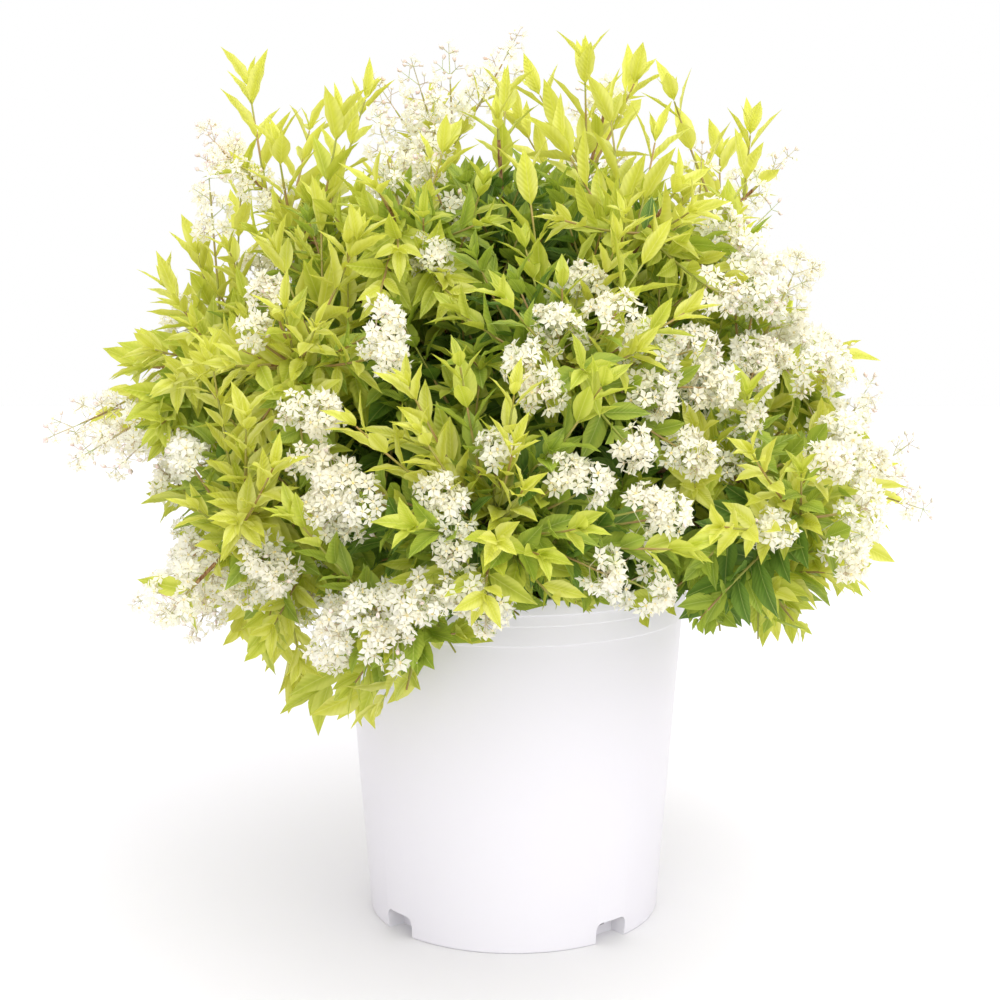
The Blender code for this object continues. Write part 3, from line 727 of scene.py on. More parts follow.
for piece in (crown, bare):
    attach(piece, "root")
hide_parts("root_crown")
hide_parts(*[f"cane_{cane.name}" for cane in canes])

# The side shoots: this year's growth, in opposite pairs at the canes' nodes, each pair square to the last.
# A shoot grows out and up to the crown's edge and ends in young leaves, or in a panicle of blossom.
PAIR_TURN = 90.0
SHOOT_LONGEST = 0.112
SHOOT_SHORTENS = 0.52
SHOOT_LEAST = 0.024
SHOOT_WOBBLE = 0.18
SHOOT_ANGLE_FOOT = 62.0
SHOOT_ANGLE_TIP = 38.0
SHOOT_LIFT = 0.30
SHOOT_CURVES_UP = 0.22
SHOOT_DROOPS = 0.28
SHOOT_FOOT_RADIUS = 0.0011
SHOOT_TIP_RADIUS = 0.0006
SHOOT_STEP = 0.008
FIRST_TURN = (20.0, 70.0)
PAIR_WOBBLE = 14
SPARSE_FROM = 0.72
SPARSE_SHARE = 0.45
DROOPS_IF_FLATTER = 0.55
END_SHOOT = 0.058
END_WOBBLE = (0.8, 1.1)
END_LEAST = 0.012
END_CURVES_UP = 0.05
NODE_NEAREST = 0.028
NODE_INWARD = 0.30
LOW_UNDER = 0.30
LOW_DROOPS = -0.10
HIGH_CURVES_UP = 0.12
GAP_BETWEEN_TIPS = 0.032
HEAD_GAP = 0.030
FLOWERS_FROM = 0.66
EDGE_SPOTS = 1500
EDGE_AT = 0.95
EDGE_STEP = 0.006
EDGE_STEPS = range(8, 60)
EDGE_LONGEST = 0.125
EDGE_STOPS_SHORT = 0.030
GOLDEN_ANGLE = 2.39996
OVER_RIM = 0.003
OFF_WALL = 0.004
OVER_MIX = 0.006
CROWN_MIDDLE = Vector((0.0, 0.0, 0.36))

# How far the crown reaches at each height, to the left, the right, the front and the back
CROWN_REACH = (
    (0.160, 0.140, 0.085, 0.175, 0.175),
    (0.200, 0.200, 0.185, 0.225, 0.225),
    (0.240, 0.225, 0.222, 0.258, 0.255),
    (0.280, 0.240, 0.255, 0.274, 0.270),
    (0.320, 0.256, 0.262, 0.280, 0.276),
    (0.360, 0.272, 0.245, 0.274, 0.270),
    (0.400, 0.255, 0.218, 0.260, 0.256),
    (0.440, 0.232, 0.206, 0.238, 0.235),
    (0.476, 0.200, 0.178, 0.205, 0.200),
    (0.500, 0.162, 0.146, 0.162, 0.157),
    (0.520, 0.108, 0.096, 0.102, 0.097),
)
REACH_HEIGHTS, *REACHES = zip(*CROWN_REACH)
# The crown's lower hem as the front shows it, each a width and the height that its leaves hang down to
HEM = (
    (-0.340, 0.310), (-0.290, 0.215), (-0.240, 0.188), (-0.190, 0.155), (-0.150, 0.128), (-0.110, 0.126),
    (-0.070, 0.165), (-0.020, 0.190), (0.010, 0.215), (0.075, 0.215), (0.100, 0.203), (0.150, 0.198),
    (0.205, 0.190), (0.250, 0.220), (0.300, 0.270),
)
BACK_HEM = 0.190
# The eye that sees the front, and where along Y the half begins that an eye behind the plant sees
EYE = Vector((0.0, -1.25, 0.477))
BACK_HALF = 0.02
# The patches in blossom, each a middle and a radius as the front shows it, and as the back shows it from behind
BLOSSOM_PATCHES = (
    (-0.296, 0.340, 0.042), (-0.214, 0.514, 0.038), (-0.255, 0.232, 0.042), (-0.236, 0.325, 0.018),
    (-0.122, 0.304, 0.030), (-0.184, 0.250, 0.026), (-0.125, 0.205, 0.028), (-0.083, 0.214, 0.036),
    (-0.022, 0.220, 0.022), (-0.066, 0.550, 0.044), (-0.060, 0.484, 0.024), (0.054, 0.430, 0.034),
    (0.130, 0.366, 0.052), (0.204, 0.425, 0.052), (0.225, 0.372, 0.052), (0.258, 0.320, 0.030),
    (0.190, 0.282, 0.014), (0.252, 0.266, 0.026), (0.082, 0.243, 0.022), (0.160, 0.500, 0.030),
)
# Single heads in the crown's leafy face: each place as the front shows it, and the panicle's size beside the
# common one. The back has the same, as seen from behind
FACE_HEADS = (
    (-0.094, 0.420, 0.95), (-0.090, 0.402, 0.60), (-0.156, 0.366, 0.50), (-0.136, 0.360, 0.55),
    (-0.172, 0.445, 0.50), (-0.186, 0.416, 0.45), (0.006, 0.396, 0.50), (0.018, 0.376, 0.50),
    (-0.012, 0.334, 0.42), (0.036, 0.314, 0.52), (0.056, 0.308, 0.45), (0.084, 0.334, 0.50),
    (-0.054, 0.304, 0.48), (-0.044, 0.292, 0.50), (-0.042, 0.262, 0.42), (-0.122, 0.304, 0.85),
    (-0.134, 0.290, 0.75), (-0.112, 0.289, 0.60), (-0.128, 0.318, 0.50), (-0.150, 0.330, 0.45),
    (-0.122, 0.206, 0.85), (-0.104, 0.220, 0.80), (-0.090, 0.196, 0.85), (-0.073, 0.216, 0.90),
    (-0.058, 0.230, 0.65), (-0.132, 0.188, 0.65), (-0.020, 0.216, 0.62), (-0.034, 0.230, 0.50),
    (-0.188, 0.260, 0.80), (-0.174, 0.244, 0.75), (-0.192, 0.236, 0.75), (-0.210, 0.250, 0.70),
    (-0.232, 0.326, 0.60), (0.072, 0.430, 0.65), (0.098, 0.292, 0.55), (0.112, 0.286, 0.50),
    (0.064, 0.244, 0.50), (0.134, 0.524, 0.80), (0.152, 0.500, 0.90), (0.160, 0.470, 0.80),
    (0.144, 0.444, 0.60), (0.172, 0.444, 0.70), (0.192, 0.464, 0.75), (0.176, 0.484, 0.70),
)

# The strong leafy shoots that stand out of the top, and the thin flowering sprays that stand out of the sides:
# each tip as the front shows it, and how far back it is
LEADER_TIPS = (
    (0.122, 0.500, -0.16), (0.096, 0.474, -0.19), (-0.165, 0.470, -0.12), (-0.110, 0.480, -0.17),
    (-0.183, 0.585, 0.00), (-0.121, 0.563, -0.03), (-0.103, 0.577, 0.02), (-0.164, 0.543, -0.04),
    (-0.142, 0.556, 0.04), (-0.221, 0.470, 0.00), (-0.190, 0.520, 0.05), (-0.006, 0.578, -0.02),
    (0.018, 0.580, 0.04), (0.049, 0.600, 0.00), (0.066, 0.572, -0.05), (0.083, 0.588, 0.02),
    (0.111, 0.576, -0.02), (0.098, 0.548, -0.08), (0.164, 0.553, 0.00), (0.143, 0.537, 0.05),
    (0.034, 0.548, -0.10), (-0.050, 0.540, -0.11), (0.010, 0.520, -0.14), (0.150, 0.500, -0.08),
    (-0.135, 0.500, -0.11), (-0.080, 0.520, 0.10), (0.060, 0.550, 0.11), (0.005, 0.560, 0.13),
    (-0.242, 0.446, 0.01), (-0.256, 0.392, 0.00), (-0.250, 0.368, -0.07), (-0.236, 0.300, -0.08),
    (0.244, 0.268, 0.02), (0.230, 0.246, -0.04), (0.246, 0.306, -0.08), (0.226, 0.402, 0.03),
)
SPRAY_TIPS = (
    (-0.308, 0.352, 0.00), (-0.292, 0.338, -0.03), (-0.290, 0.346, 0.03), (-0.268, 0.334, -0.05),
    (-0.252, 0.234, -0.01), (-0.240, 0.226, -0.05), (-0.222, 0.216, -0.08), (0.266, 0.326, 0.02),
    (0.276, 0.296, 0.00), (0.262, 0.318, -0.05), (0.244, 0.366, 0.02), (0.225, 0.400, 0.00),
    (-0.008, 0.602, 0.05), (-0.044, 0.588, 0.02), (-0.064, 0.582, -0.02), (-0.082, 0.570, 0.03),
    (-0.056, 0.555, -0.07), (-0.205, 0.545, 0.02), (-0.212, 0.515, -0.03), (0.130, 0.520, 0.00),
    (-0.090, 0.545, -0.08), (0.050, 0.560, 0.12), (-0.060, 0.560, 0.12),
)
# The shoots that hang out over the pot's rim at the lower left
HANGING_TIPS = ((-0.160, 0.176, -0.06), (-0.140, 0.158, -0.10), (-0.112, 0.150, -0.14), (-0.070, 0.172, -0.15))
LEADER_LONGEST = 0.190
LEADER_UPRIGHT = 0.060
UPRIGHT_OVER = 0.45
# Strong leafy shoots that rise in the crown's own face, in front and behind, and how far they stand out of it
FACE_LEADERS = (
    (0.000, 0.372), (-0.038, 0.392), (-0.074, 0.378), (-0.190, 0.356), (-0.172, 0.320), (-0.156, 0.284),
    (-0.112, 0.350), (0.018, 0.258), (-0.006, 0.440), (0.120, 0.430), (-0.214, 0.400), (-0.226, 0.290),
    (0.150, 0.278), (0.062, 0.378), (-0.140, 0.420), (0.205, 0.316), (0.170, 0.330), (-0.066, 0.345),
    (0.000, 0.336), (0.006, 0.304), (0.044, 0.276), (-0.070, 0.278), (-0.012, 0.268), (0.120, 0.262),
)
FACE_STANDS_OUT = 0.020
FACE_LEAF_SIZE = 0.72
FACE_AT = 0.96
FACE_FROM = 0.70
FACE_STEP = 0.001
FACE_STEPS = 300
# Where the front looks into older, greener leaves in the crown's own shade, given a darker tone that is partly painted
# shade
GREEN_AND_SHADE_PATCHES = (
    (0.050, 0.360, 0.062), (0.035, 0.280, 0.075), (-0.080, 0.270, 0.038), (0.000, 0.345, 0.050),
    (-0.005, 0.455, 0.034), (0.110, 0.275, 0.042), (0.175, 0.255, 0.045),
)


def seen(place):
    """Where the plane y = 0 shows a place to the eye, as (x, z), and for the back half to an eye behind."""
    behind = place.y > BACK_HALF
    nearer = -EYE.y / ((-place.y if behind else place.y) - EYE.y)
    return (-place.x if behind else place.x) * nearer, EYE.z + (place.z - EYE.z) * nearer


def outwardness(place):
    """0 on the crown's axis and 1 at its edge."""
    if not REACH_HEIGHTS[0] < place.z < REACH_HEIGHTS[-1]:
        return 2.0
    left, right, front, back = (float(np.interp(place.z, REACH_HEIGHTS, reach)) for reach in REACHES)
    across = place.x / (right if place.x > 0 else left)
    deep = place.y / (back if place.y > 0 else front)
    return math.hypot(across, deep)


def over_hem(place):
    """Whether a place is higher than the crown's lower hem."""
    if place.y > BACK_HALF:
        return place.z > BACK_HEM
    x, z = seen(place)
    return z > np.interp(x, *zip(*HEM))


def clear_of_pot(place):
    """Whether a place is outside the pot's wall, or inside it and over the potting mix."""
    out = math.hypot(place.x, place.y)
    if place.z > POT_HEIGHT + OVER_RIM:
        return True
    return out > POT_RIM_RADIUS + OFF_WALL or (out < pot_inside - OFF_WALL and place.z > SOIL_TOP + OVER_MIX)


def within(place, patches):
    """Whether a place is seen in any of these patches."""
    x, z = seen(place)
    return any(math.hypot(x - px, z - pz) < radius for px, pz, radius in patches)


def face_spot(x, z, behind, out=0.0):
    """Where an eye in front or behind sees (x, z) of the plane y = 0 on the crown's edge, or so far out of it."""
    eye = Vector((0.0, -EYE.y if behind else EYE.y, EYE.z))
    ray = Vector((-x if behind else x, 0.0, z)) - eye
    for k in range(FACE_STEPS):
        place = eye + ray * (FACE_FROM + FACE_STEP * k)
        if outwardness(place) < FACE_AT:
            return place - ray.normalized() * out
    return None


class Shoot:
    """One shoot, from its node outward, bending up to the light or down with its own weight."""

    def __init__(self, foot, way, length, curve, girth):
        self.foot = foot
        self.way = way
        self.length = length
        self.curve = curve
        self.girth = girth
        self.flowers = False
        self.strong = False
        self.head_size = None
        self.leaf_size = 1.0

    def at(self, t):
        """The place at a share t of the shoot."""
        return self.foot + self.way * (self.length * t) + Vector((0, 0, self.curve * self.length * t * t))

    def along(self, t):
        """The way that the shoot goes at t."""
        return (self.way + Vector((0, 0, 2 * self.curve * t))).normalized()

    def cut_back(self):
        """Shortens the shoot to where it leaves the crown's space."""
        steps = max(4, int(self.length / EDGE_STEP))
        for k in range(1, steps + 1):
            place = self.at(k / steps)
            if outwardness(place) > 1 or not over_hem(place) or not clear_of_pot(place):
                share = (k - 1) / steps
                self.curve *= share
                self.length *= share
                return

    def line(self):
        """Points along the shoot, each with its girth."""
        steps = max(3, round(self.length / SHOOT_STEP))
        thins = SHOOT_TIP_RADIUS - self.girth
        return [(self.at(k / steps), self.girth + thins * k / steps) for k in range(steps + 1)]


def shoot_to(place, longest, upright=0.0):
    """The shoot that reaches a place from the nearest point of a cane within the crown, or None.

    It starts from the nearest to a point so far under the place, so a strong shoot rises upright.
    """
    best = None
    for cane in canes:
        for s in cane.nodes:
            foot = cane.at(s)
            far = (place - foot).length
            inward = (place - foot).normalized().dot((place - CROWN_MIDDLE).normalized())
            off = (place - foot - Vector((0, 0, upright))).length
            if NODE_NEAREST < far < longest and inward > NODE_INWARD and (best is None or off < best[0]):
                if all(clear_of_pot(foot.lerp(place, k / 12)) for k in range(13)):
                    best = (off, foot)
    if best is None:
        return None
    foot = best[1]
    far = (place - foot).length
    bend = LOW_DROOPS if place.z < LOW_UNDER else HIGH_CURVES_UP
    straight = place - foot - Vector((0, 0, bend * far))
    return Shoot(foot, straight.normalized(), straight.length, bend * far / straight.length, SHOOT_FOOT_RADIUS)


def edge_spot(way):
    """The place on the crown's edge that way from its middle, or None where the hem or the pot is nearer."""
    found = None
    for k in EDGE_STEPS:
        place = CROWN_MIDDLE + way * (EDGE_STEP * k)
        if outwardness(place) > EDGE_AT or not over_hem(place) or not clear_of_pot(place):
            break
        found = place
    return found


shoots = []
leaf_nodes = []
heads = []


def may_flower(shoot):
    """Whether a shoot flowers: at the crown's edge, where it is in blossom, with room for a panicle."""
    tip = shoot.at(1)
    if outwardness(tip) < FLOWERS_FROM or not within(tip, BLOSSOM_PATCHES):
        return False
    if any((tip - head).length < HEAD_GAP for head in heads):
        return False
    heads.append(tip)
    return True


for behind in (False, True):
    for x, z, size in FACE_HEADS:
        spot = face_spot(x, z, behind)
        shoot = shoot_to(spot, EDGE_LONGEST) if spot else None
        if shoot:
            shoot.flowers = True
            shoot.head_size = size
            heads.append(spot)
            shoots.append(shoot)
    for x, z in FACE_LEADERS:
        spot = face_spot(x, z, behind, FACE_STANDS_OUT)
        shoot = shoot_to(spot, LEADER_LONGEST, LEADER_UPRIGHT) if spot else None
        if shoot:
            shoot.strong = True
            shoot.leaf_size = FACE_LEAF_SIZE
            shoots.append(shoot)

for cane in canes:
    chance = random.Random(SEED * 100 + cane.seed)
    first_turn = chance.uniform(*FIRST_TURN)
    low = cane.tier.name in ("skirt", "side")
    for k, s in enumerate(cane.nodes):
        share = max(0.0, (s - cane.tier.leaf_from) / (1 - cane.tier.leaf_from))
        along = cane.along(s)
        across = along.cross(Vector((0, 0, 1)))
        across = across.normalized() if across.length > 0.05 else along.orthogonal().normalized()
        angle = math.radians(SHOOT_ANGLE_FOOT + (SHOOT_ANGLE_TIP - SHOOT_ANGLE_FOOT) * share)
        for side in (0, 180):
            turn = math.radians(first_turn + PAIR_TURN * k + side + chance.uniform(-PAIR_WOBBLE, PAIR_WOBBLE))
            outward = Quaternion(along, turn) @ across
            leaf_nodes.append((cane.at(s), along, outward, share))
            if share > SPARSE_FROM and chance.random() < SPARSE_SHARE:
                continue
            way = along * math.cos(angle) + outward * math.sin(angle)
            way = (way + Vector((0, 0, SHOOT_LIFT))).normalized()
            length = SHOOT_LONGEST * (1 - SHOOT_SHORTENS * share) * (1 + chance.uniform(-SHOOT_WOBBLE, SHOOT_WOBBLE))
            curve = chance.uniform(-SHOOT_DROOPS, 0.1) if low and way.z < DROOPS_IF_FLATTER else SHOOT_CURVES_UP
            shoot = Shoot(cane.at(s), way, length, curve, SHOOT_FOOT_RADIUS)
            shoot.cut_back()
            if shoot.length < SHOOT_LEAST:
                continue
            shoot.flowers = may_flower(shoot)
            shoots.append(shoot)
    length = END_SHOOT * chance.uniform(*END_WOBBLE)
    end = Shoot(cane.at(1.0), cane.along(1.0), length, END_CURVES_UP, CANE_TIP_RADIUS)
    end.cut_back()
    end.length = max(end.length, END_LEAST)
    end.flowers = may_flower(end)
    shoots.append(end)

chance = random.Random(SEED * 3)
for x, z, deep in LEADER_TIPS + HANGING_TIPS + SPRAY_TIPS:
    nearer = (deep - EYE.y) / -EYE.y
    tip = Vector((x * nearer, deep, EYE.z + (z - EYE.z) * nearer))
    shoot = shoot_to(tip, LEADER_LONGEST, LEADER_UPRIGHT if z > UPRIGHT_OVER else 0.0)
    if shoot:
        shoot.strong = True
        shoot.flowers = (x, z, deep) in SPRAY_TIPS
        if shoot.flowers:
            heads.append(tip)
        shoots.append(shoot)

# Further shoots to the crown's edge, wherever no tip has reached it or a patch in blossom lacks a panicle
tips = [shoot.at(1) for shoot in shoots]
for k in range(EDGE_SPOTS):
    up = 1 - 2 * (k + 0.5) / EDGE_SPOTS
    turn = GOLDEN_ANGLE * k
    spot = edge_spot(Vector((math.cos(turn) * math.sqrt(1 - up * up), math.sin(turn) * math.sqrt(1 - up * up), up)))
    if spot is None:
        continue
    bare = all((spot - tip).length > GAP_BETWEEN_TIPS for tip in tips)
    blooms = within(spot, BLOSSOM_PATCHES) and all((spot - head).length > HEAD_GAP for head in heads)
    if not bare and not blooms:
        continue
    inward = (CROWN_MIDDLE - spot).normalized()
    shoot = shoot_to(spot + inward * chance.uniform(0.0, EDGE_STOPS_SHORT), EDGE_LONGEST)
    if shoot is None:
        continue
    shoot.cut_back()
    if shoot.length > SHOOT_LEAST:
        shoot.flowers = may_flower(shoot)
        shoots.append(shoot)
        tips.append(shoot.at(1))

# A young shoot's skin: smooth, thinly haired, green with a flush of red brown where the sun reaches it
young_skin, tree, shader = finish("young_shoot_skin", "#97994A", 0.6)
patchy(tree, shader, 38.0, 2.0, ((0.40, "#A3A84C"), (0.62, "#AE8E5C")))
patchy(tree, shader, 2600.0, 1.0, relief=(0.3, 0.0002))
twigs = limbs("side_shoots", [shoot.line() for shoot in shoots], 5, 0.0, 100.0, young_skin)
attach(twigs, "root")
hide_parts(*[f"foliage_{cane.name}" for cane in canes])

# The leaves: opposite, oval, with a drawn-out tip, folded along the midrib and arching over with age.
# The youngest are gold, the next lime, and those in the crown's own shade a deeper green, which is partly their own
# colour and partly painted shade.
LEAF_LENGTH = 0.031
LEAF_HALF_WIDTH = 0.195
LEAF_STEP = 0.0094
LEADER_LEAF_STEP = 0.0182
LEAF_WOBBLE = 0.12
LEAF_TURNS = 12
# Sizes and splays, each as the value at the foot and how much less it is at the tip
CANE_LEAF_SIZE = (1.05, 0.25)
CANE_LEAF_SPLAY = (66, 22)
STRONG_LEAF_SIZE = (1.40, 0.20)
STRONG_LEAF_SPLAY = (46, 24)
LEAF_SPLAY = (60, 24)
# The last two pairs of a shoot, as (size, splay), and how far up a leafy and a flowering shoot the others go
LAST_PAIRS = ((0.74, 30), (0.46, 17))
STRONG_LAST_PAIRS = ((0.98, 28), (0.66, 16))
LEAFY_TO = 0.97
FLOWERING_LEAFY_TO = 0.72
FLOWERING_LEAF_SIZE = 0.80
PALER_FROM = 0.7
# How a leaf turns to the light: what it keeps of its own way, how much of straight up is added, and by chance
SPLAY_WOBBLE = (0.8, 1.2)
LEAF_NODS = (-0.12, 0.10)
OWN_FACE = 0.65
LIGHTWARD = 0.7
FACE_WOBBLE = 0.25
# The outline, as (share of the length, share of the half width)
LEAF_OUTLINE = ((0.06, 0.08), (0.15, 0.54), (0.28, 0.88), (0.42, 1.00), (0.57, 0.93), (0.73, 0.66), (0.88, 0.27))
# How wide a leaf is beside the next, how steeply it is folded, how it arches and how its edge waves.
# Each tone of leaf takes three of them, the youngest the first three and the oldest the last three
LEAF_FORMS = (
    (0.66, 0.50, 0.06, 0.012), (0.78, 0.32, 0.16, -0.012), (0.90, 0.42, 0.10, 0.015),
    (1.00, 0.28, 0.24, -0.015), (1.10, 0.38, 0.14, 0.015), (1.18, 0.20, 0.20, -0.015),
)
# Lower down they are a form broader, and broader again
BROADER_UNDER = (0.40, 0.27)
LEAF_MARGINS = ("#EEEF90", "#E3E873", "#BECD55", "#86A446")
LEAF_TONES = ("#D3D84C", "#B9C640", "#8FA83C", "#547A2E")
LIGHT_THROUGH = ("#ECEC62", "#DBE04E", "#B0C444", "#7C9C38")
LEAF_LETS_THROUGH = 0.36
MIDRIB = "#E6E88C"
# The light that a place gets, by its outwardness and its height, and the steps from each tone to the next: less light
# gives a darker tone, which is partly painted shade
LIGHT_MOST = 1.1
LIGHT_OUTWARD = 0.90
LIGHT_FROM = 0.30
LIGHT_UPWARD = 0.30
LIGHT_WOBBLE = (-0.22, 0.25)
PATCH_SHADE = 0.12
LIGHT_STEPS = (0.93, 0.76, 0.56)


def leaf_form(width, fold, arch, wave):
    """A unit leaf along +Y with its face to +Z."""
    points = [(0.0, 0.0, 0.0)]
    for k, (t, wide) in enumerate(LEAF_OUTLINE):
        half_width = LEAF_HALF_WIDTH * width * wide
        drop = -arch * t * t
        ripple = wave * wide * (1 if k % 2 else -1)
        points += [
            (-half_width, t, drop + fold * half_width + ripple),
            (0.0, t, drop),
            (half_width, t, drop + fold * half_width - ripple),
        ]
    points.append((0.0, 1.0, -arch))
    rows = len(LEAF_OUTLINE)
    faces = [(0, 2, 1), (0, 3, 2)]
    for row in range(rows - 1):
        low, high = 1 + 3 * row, 4 + 3 * row
        faces += [(low, low + 1, high + 1, high), (low + 1, low + 2, high + 2, high + 1)]
    last = 1 + 3 * (rows - 1)
    tip = len(points) - 1
    faces += [(last, last + 1, tip), (last + 1, last + 2, tip)]
    return points, faces


def facing(way, up):
    """The turn that lays +Y along a way and +Z as near to up as it goes."""
    side = way.cross(up)
    side = side.normalized() if side.length > 1e-4 else way.orthogonal().normalized()
    top = side.cross(way).normalized()
    return Matrix((side, way, top)).transposed().to_quaternion()


sprays = [[] for _ in LEAF_TONES]


def leaf_pair(place, along, spread, splay, size, tone_of_pair, chance, sides=(1, -1)):
    """Two opposite leaves at a node, their faces turned part of the way to the light."""
    for side in sides:
        lean = splay * chance.uniform(*SPLAY_WOBBLE)
        way = along * math.cos(lean) + spread * (side * math.sin(lean))
        way = (way + Vector((0, 0, chance.uniform(*LEAF_NODS)))).normalized()
        up = along * math.sin(lean) - spread * (side * math.cos(lean))
        by_chance = Vector([chance.uniform(-FACE_WOBBLE, FACE_WOBBLE) for _ in range(3)])
        up = up * OWN_FACE + Vector((0, 0, LIGHTWARD)) + by_chance
        length = LEAF_LENGTH * size * (1 + chance.uniform(-LEAF_WOBBLE, LEAF_WOBBLE))
        tip = place + way * length
        if not clear_of_pot(tip) or not clear_of_pot(place + way * (length / 2)) or not over_hem(tip):
            continue
        form = min(len(LEAF_FORMS) - 1, chance.randrange(3) + tone_of_pair + sum(place.z < z for z in BROADER_UNDER))
        sprays[tone_of_pair].append((place, facing(way, up), length, form))


def shade_of(place, chance):
    """Which of the leaf tones a spray here takes: lighter to the crown's edge and its top, and darker inward and lower
    down, which is partly painted shade.
    """
    # Painted shade, in part: sprays deeper in the crown and lower down take darker leaf tones, as well as older,
    # greener leaves
    light = min(LIGHT_MOST, outwardness(place)) * LIGHT_OUTWARD + (place.z - LIGHT_FROM) * LIGHT_UPWARD
    light += chance.uniform(*LIGHT_WOBBLE)
    # Painted shade, in part: sprays seen in these patches take a darker leaf tone
    light -= PATCH_SHADE if within(place, GREEN_AND_SHADE_PATCHES) else 0.0
    return sum(light <= step for step in LIGHT_STEPS)


chance = random.Random(SEED * 1000)
for place, along, outward, share in leaf_nodes:
    size, splay = (foot - less * share for foot, less in (CANE_LEAF_SIZE, CANE_LEAF_SPLAY))
    leaf_pair(place, along, outward, math.radians(splay), size, shade_of(place, chance), chance, sides=(1,))
for shoot in shoots:
    tint = shade_of(shoot.at(0.8), chance)
    spread = Quaternion(shoot.way, chance.uniform(0, math.pi)) @ shoot.way.orthogonal().normalized()
    top = FLOWERING_LEAFY_TO if shoot.flowers else LEAFY_TO
    step = LEADER_LEAF_STEP * shoot.leaf_size if shoot.strong else LEAF_STEP
    count = max(1, int(shoot.length * top / step))
    for k in range(count):
        t = min(top * (k + 0.6) / count, 0.99)
        along = shoot.along(t)
        turned_by = Quaternion(along, math.radians(PAIR_TURN * k + chance.uniform(-LEAF_TURNS, LEAF_TURNS)))
        # Largest over the shoot's middle, smaller under a panicle, and large from the foot on a strong leafy shoot
        size = (0.80 + 0.35 * math.sin(math.pi * min(1.0, t + 0.15))) * (FLOWERING_LEAF_SIZE if shoot.flowers else 1.0)
        if shoot.strong and not shoot.flowers:
            size = (STRONG_LEAF_SIZE[0] - STRONG_LEAF_SIZE[1] * t) * shoot.leaf_size
        splay, closes = STRONG_LEAF_SPLAY if shoot.strong else LEAF_SPLAY
        here = max(0, tint - (t > PALER_FROM))
        leaf_pair(shoot.at(t), along, turned_by @ spread, math.radians(splay - closes * t), size, here, chance)
    if not shoot.flowers:
        for k, (size, splay) in enumerate(STRONG_LAST_PAIRS if shoot.strong else LAST_PAIRS):
            turned_by = Quaternion(shoot.along(1), math.radians(PAIR_TURN * (count + k)))
            leaf_pair(shoot.at(1), shoot.along(1), turned_by @ spread, math.radians(splay), size * shoot.leaf_size,
                      max(0, tint - 1), chance)


def lit_through(tree, shader, share, colour):
    """Lets a share of the light through a thin piece, in this colour."""
    glow = add(tree, "ShaderNodeBsdfTranslucent", {"Color": tone(colour)})
    skin = add(tree, "ShaderNodeMixShader", {0: share, 1: shader, 2: glow})
    tree.links.new(skin.outputs[0], tree.nodes["Material Output"].inputs["Surface"])


leaf_forms = [leaf_form(*values) for values in LEAF_FORMS]
for k, (code, edge, through, spots) in enumerate(zip(LEAF_TONES, LEAF_MARGINS, LIGHT_THROUGH, sprays)):
    # A living leaf: a waxy skin with a soft sheen, its own tone a little uneven, and a third of the light
    # goes through the blade, which is what makes young leaves glow
    blade, tree, shader = finish(f"leaf_cuticle_{k + 1}", code, 0.48, IOR=1.42)
    ties = add(tree, "ShaderNodeTexCoord").outputs
    flat = add(tree, "ShaderNodeSeparateXYZ", {0: ties["UV"]}).outputs
    aside = add(tree, "ShaderNodeMath", {0: flat["X"], 1: 0.5}, operation="SUBTRACT")
    aside = add(tree, "ShaderNodeMath", {0: aside}, operation="ABSOLUTE")
    uneven = add(tree, "ShaderNodeTexNoise", {"Vector": ties["Object"], "Scale": 55.0, "Detail": 2.0})
    value = add(tree, "ShaderNodeMapRange", {
        "Value": uneven, "From Min": 0.3, "From Max": 0.7, "To Min": 0.80, "To Max": 1.12,
    })
    shown = add(tree, "ShaderNodeHueSaturation", {"Color": tone(code), "Value": value}).outputs["Color"]
    for paler, near, far, share_near, share_far, how in (
        (edge, 0.03, 0.12, 0.0, 0.75, "SMOOTHSTEP"), (MIDRIB, 0.004, 0.012, 0.45, 0.0, "LINEAR"),
    ):
        share = add(tree, "ShaderNodeMapRange", {
            "Value": aside, "From Min": near, "From Max": far, "To Min": share_near, "To Max": share_far,
        }, interpolation_type=how)
        shown = add(tree, "ShaderNodeMix", {0: share, 6: shown, 7: tone(paler)}, data_type="RGBA").outputs[2]
    tree.links.new(shown, shader.inputs["Base Color"])
    slant = add(tree, "ShaderNodeMath", {0: aside, 1: -1.3, 2: flat["Y"]}, operation="MULTIPLY_ADD")
    ribs = add(tree, "ShaderNodeMath", {0: slant, 1: 62.0}, operation="MULTIPLY")
    ribs = add(tree, "ShaderNodeMath", {0: ribs}, operation="SINE")
    puckered = add(tree, "ShaderNodeBump", {"Height": ribs, "Strength": 0.28, "Distance": 0.0006})
    tree.links.new(puckered.outputs["Normal"], shader.inputs["Normal"])
    lit_through(tree, shader, LEAF_LETS_THROUGH, through)
    leaves = strewn(f"leaves_{k + 1}", leaf_forms, spots, 1.0, 0.05, 11 + k, blade)
    smooth(leaves)
    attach(leaves, "root")

# The blossom: panicles of small five-petalled stars, in clusters on opposite branchlets, with buds at the top.
# Most are as wide as they are long, and those at the crown's top are drawn out and thinner.
FLOWER_WIDTH = 0.0108
FLOWER_STALK = 0.0056
FLOWER_SIZES = (0.86, 1.12)
FLOWER_ANGLES = (48, 82)
FLOWER_WOBBLE = 0.3
PETAL_CUPS = (0.08, 0.26, 0.46)
PETAL_LETS_THROUGH = 0.42
BUD_LENGTH = 0.0046
BUD_SIZES = (0.8, 1.2)
AXIS_RADII = (0.0006, 0.0004)
BRANCHLET_RADIUS = 0.00045
STALK_RADIUS = 0.00026
